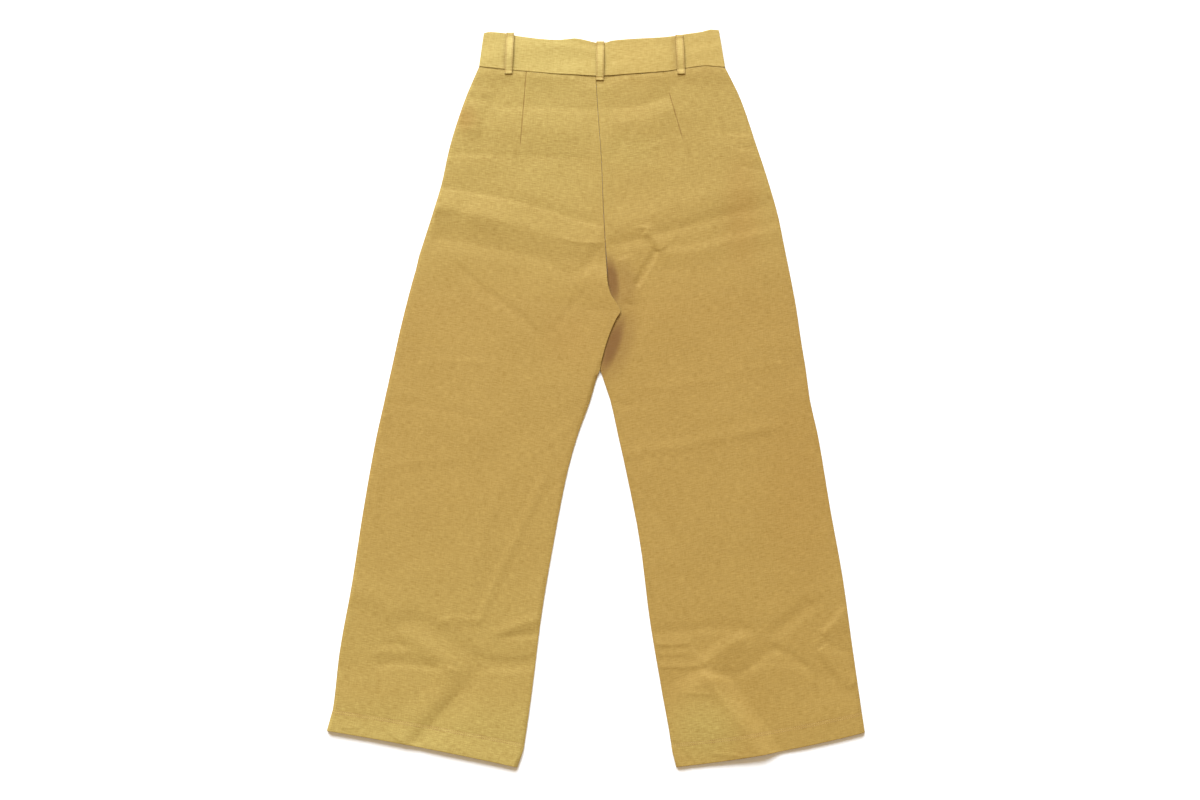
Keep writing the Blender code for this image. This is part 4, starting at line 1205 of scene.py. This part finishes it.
# ---------------------------------------------------------------- belt loops
# Narrow strips of the linen, folded and topstitched along both edges. Their ends are
# turned under and bar-tacked at the band's top edge and just below the waist seam.
LOOP_WALL = 1.3
LOOP_CLEAR = 2.3
LOOP_TAB = 7.0
TAB_WALL = 1.7
TAB_STEP = 0.02                        # the part of a loop's length over which its tab ends
TOPSTITCH = 0.36                       # how far from its middle, as parts of a loop's width
PRESSED = 0.10                         # how deep the topstitching sinks, and half its width
PRESSED_HALF = 0.8
# painted shade along the topstitching, where it sinks into the loop
PRESSED_DARK = 4.0
EDGE_DARK = 0.5                        # painted shade on a loop's own edges, and how far in it goes
EDGE_DARK_REACH = 0.9
FLAT_UNDER = 0.05
# A lighter copy of the linen again: partly the folded double strip, partly a painted highlight on
# the loops' raised faces.
LOOP_LINEN = linen("loop_linen", (0.470, 0.314, 0.078))
LoopSpot = namedtuple("LoopSpot", "x y low wall")


def surface(x, y):
    """The outer face that a back loop lies over: waistband, then panel below the seam."""
    if y > float(waist_seam(x)) - 1.0:
        return float(band_top(x, y))
    return float(back_top("left" if x < 3.0 else "right", x, y))


def loop_length(loop):
    return math.hypot(loop.top_x - loop.low_x, loop.top_y - loop.low_y)


def loop_profile(loop, place):
    """Underside and wall of a loop at a place from 0, its top, to 1, its lower end."""
    tab = LOOP_TAB / loop_length(loop)
    x = loop.top_x + (loop.low_x - loop.top_x) * place
    y = loop.top_y + (loop.low_y - loop.top_y) * place
    base = max(surface(x + reach, y) for reach in (-LOOP_WIDTH / 2, 0.0, LOOP_WIDTH / 2))
    inner = np.clip((place - tab) / (1 - 2 * tab), 0.0, 1.0)
    step = float(ease((place - tab) / TAB_STEP) * ease((1 - tab - place) / TAB_STEP))
    under = TAB_WALL - LOOP_WALL
    rise = step * (under + (LOOP_CLEAR - under) * math.sin(math.pi * inner))
    return LoopSpot(x, y, base + GAP + rise, TAB_WALL + (LOOP_WALL - TAB_WALL) * step)


def columns_of(shares):
    """A loop's mesh columns, the same on both sides of its middle."""
    half = LOOP_WIDTH * np.array(shares)
    return np.concatenate([-half[:0:-1], half])


beside = columns_of([0.0, 0.15, 0.28, 0.33, 0.36, 0.39, 0.43, 0.47, 0.49, 0.5])
from_sides = LOOP_WIDTH / 2 - np.abs(beside)
crown = PRESSED * np.clip(1 - ((np.abs(beside) - LOOP_WIDTH * TOPSTITCH) / PRESSED_HALF) ** 2, 0, 1)
near_end = np.array([0.0, 0.003, 0.01, 0.02])
places = np.concatenate([near_end, np.linspace(0.035, 0.965, 60), 1 - near_end[::-1]])
for loop in BACK_LOOPS:
    found = [loop_profile(loop, place) for place in places]
    middle_x, middle_y, low, wall = [np.array(values)[:, None] for values in zip(*found)]
    x = middle_x + beside
    y, low = np.broadcast_to(middle_y, x.shape), np.broadcast_to(low, x.shape)
    from_ends = np.minimum(places, 1 - places)[:, None] * loop_length(loop)
    border = np.minimum(from_sides, from_ends)
    uv = np.stack([x - x.mean(), y - y.mean()], -1)
    # Painted shade along the topstitching and the loop's own edges.
    pressed = PRESSED_DARK * crown + EDGE_DARK * (1 - ease(from_sides / EDGE_DARK_REACH))
    strip = cloth_wall("linen_" + loop.name, x, y, low + wall - crown, low, border, uv,
                       LOOP_LINEN, pressed)
    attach(strip, "root")
    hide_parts(loop.name)

beside = columns_of([0.0, 0.3, 0.41, 0.455, 0.485, 0.5])
near_end = np.array([0.0, 0.12, 0.35, 0.8])
for name, middle in FRONT_LOOPS.items():
    low_y = float(waist_seam(middle)) + 1.2
    length = float(band_edge(middle)) - FRONT_BAND_DROP - 1.0 - low_y
    up = np.concatenate([near_end, np.linspace(2.0, length - 2.0, 20), length - near_end[::-1]])
    x = np.broadcast_to(middle + beside, (len(up), len(beside)))
    y = np.broadcast_to(low_y + up[:, None], x.shape)
    border = np.minimum(LOOP_WIDTH / 2 - np.abs(beside), np.minimum(up, length - up)[:, None])
    uv = np.stack([x - middle, y - low_y], -1)
    strip = cloth_wall("linen_" + name, x, y, np.full(x.shape, FLAT_LOOP),
                       np.full(x.shape, FLAT_UNDER), border, uv, LOOP_LINEN)
    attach(strip, "root")
    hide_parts(name)

# ---------------------------------------------------------------- stitching
# Matching polyester thread: twin rows round the hems, one row along the waistband's lower
# edge, two down each loop, and close bar tacks across the loops' ends.
THREAD_DARK = (0.44, 0.27, 0.07)
THREAD_LIGHT = (0.66, 0.45, 0.15)
thread, thread_tree, thread_shader = new_material("mustard_thread")
spot = add_node(thread_tree, "ShaderNodeTexCoord").outputs["Object"]
fibres = noise_node(thread_tree, spot, (1, 1, 1), 900.0, 2.0)
thread_colour = mixed(thread_tree, THREAD_DARK, THREAD_LIGHT, fibres)
fill(thread_tree, thread_shader,
     {"Base Color": thread_colour, "Roughness": 0.6, "Sheen Weight": 0.1})


def stitch_tree():
    """Short stitches along a curve, each a slim bead of thread sunk at both ends."""
    tree, given, result = node_group(
        "stitch_row", "GeometryNodeTree",
        [("Path", "Geometry"), ("Pitch", "Float", 0.003), ("Length", "Float", 0.0024),
         ("Thickness", "Float", 0.0004), ("Thread", "Material")],
        [("Stitches", "Geometry")])
    points = add_node(tree, "GeometryNodeCurveToPoints",
                      {"Curve": given["Path"], "Length": given["Pitch"]}, mode="LENGTH").outputs
    bead = add_node(tree, "GeometryNodeMeshUVSphere", {"Segments": 6, "Rings": 5, "Radius": 0.5})
    size = add_node(tree, "ShaderNodeCombineXYZ",
                    {0: given["Thickness"], 1: given["Thickness"], 2: given["Length"]})
    shaped = add_node(tree, "GeometryNodeTransform",
                      {"Geometry": bead.outputs["Mesh"], "Scale": size.outputs[0]})
    vary = add_node(tree, "FunctionNodeRandomValue",
                    {0: (0.9, 0.9, 0.86), 1: (1.1, 1.1, 1.05), "Seed": 5}, data_type="FLOAT_VECTOR")
    placed = add_node(tree, "GeometryNodeInstanceOnPoints",
                      {"Points": points["Points"], "Rotation": points["Rotation"],
                       "Instance": shaped.outputs[0], "Scale": vary.outputs["Value"]})
    real = add_node(tree, "GeometryNodeRealizeInstances", {0: placed.outputs[0]})
    coloured = add_node(tree, "GeometryNodeSetMaterial",
                        {"Geometry": real.outputs[0], "Material": given["Thread"]})
    fill(tree, result, {"Stitches": coloured.outputs[0]})
    return tree


STITCH_ROW = stitch_tree()
Stitch = namedtuple("Stitch", "pitch length thick")
HEM_STITCH = Stitch(3.1, 2.6, 0.42)
BAND_STITCH = Stitch(2.9, 2.3, 0.38)
LOOP_STITCH = Stitch(2.4, 1.9, 0.36)
BAR_TACK = Stitch(0.8, 1.5, 0.42)


def sew(name, paths, stitch):
    """Stitches along each path, a list of (x, y, z) points in millimetres."""
    curve = bpy.data.curves.new(name, "CURVE")
    curve.dimensions = "3D"
    for path in paths:
        spline = curve.splines.new("POLY")
        spline.points.add(len(path) - 1)
        for point, (px, py, pz) in zip(spline.points, path):
            point.co = (px * MM, py * MM, pz * MM, 1.0)
    row = add_object(name + "_path", curve)
    modifier = row.modifiers.new("stitches", "NODES")
    modifier.node_group = STITCH_ROW
    inputs = {item.name: item.identifier for item in STITCH_ROW.interface.items_tree
              if item.in_out == "INPUT"}
    for label, size in zip(("Pitch", "Length", "Thickness"), stitch):
        modifier[inputs[label]] = size * MM
    modifier[inputs["Thread"]] = thread
    found = row.evaluated_get(bpy.context.evaluated_depsgraph_get())
    mesh = bpy.data.meshes.new_from_object(found)
    mesh.name = name
    mesh.shade_smooth()
    bpy.data.objects.remove(row)
    piece = add_object(name, mesh)
    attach(piece, "root")
    return piece


HEM_LEAN = 0.15                        # how far a row's ends lean out for each mm below the line
HEM_SINK = 0.02
BAND_SINK = 0.16
LOOP_SINK = 0.06
TACK_PROUD = 0.02


def hem_row(side, above):
    """A path along the hem, that far above its stitch line."""
    path = []
    for along in np.linspace(0.012, 0.988, 120):
        px, py = hem_point(side, along, above)
        px = px - above * HEM_LEAN * SIGN[side]
        path.append((px, py, float(back_top(side, px, py)) + HEM_SINK))
    return path


def on_loop(loop, place, aside, sink):
    """A point on a loop's outer face, sunk by that much."""
    spot = loop_profile(loop, place)
    return spot.x + aside * LOOP_WIDTH, spot.y, spot.low + spot.wall - sink


for side in ("left", "right"):
    sew("hem_stitches_" + side, [hem_row(side, row) for row in HEM_ROWS], HEM_STITCH)

band_row = []
for px in np.linspace(WAISTBAND[0].seam_x + 2.0, WAISTBAND[-1].seam_x - 2.0, 160):
    py = float(waist_seam(px)) + BAND_STITCHES
    band_row.append((px, py, float(band_top(px, py)) - BAND_SINK))
sew("waistband_stitches", [band_row], BAND_STITCH)

loop_rows = [[on_loop(loop, place, aside, LOOP_SINK) for place in np.linspace(0.02, 0.98, 60)]
             for loop in BACK_LOOPS for aside in (-TOPSTITCH, TOPSTITCH)]
tack_rows = [[on_loop(loop, place, aside, -TACK_PROUD) for aside in np.linspace(-0.42, 0.42, 12)]
             for loop in BACK_LOOPS for place in (0.045, 0.07, 0.93, 0.955)]
sew("loop_stitches", loop_rows, LOOP_STITCH)
sew("loop_bar_tacks", tack_rows, BAR_TACK)
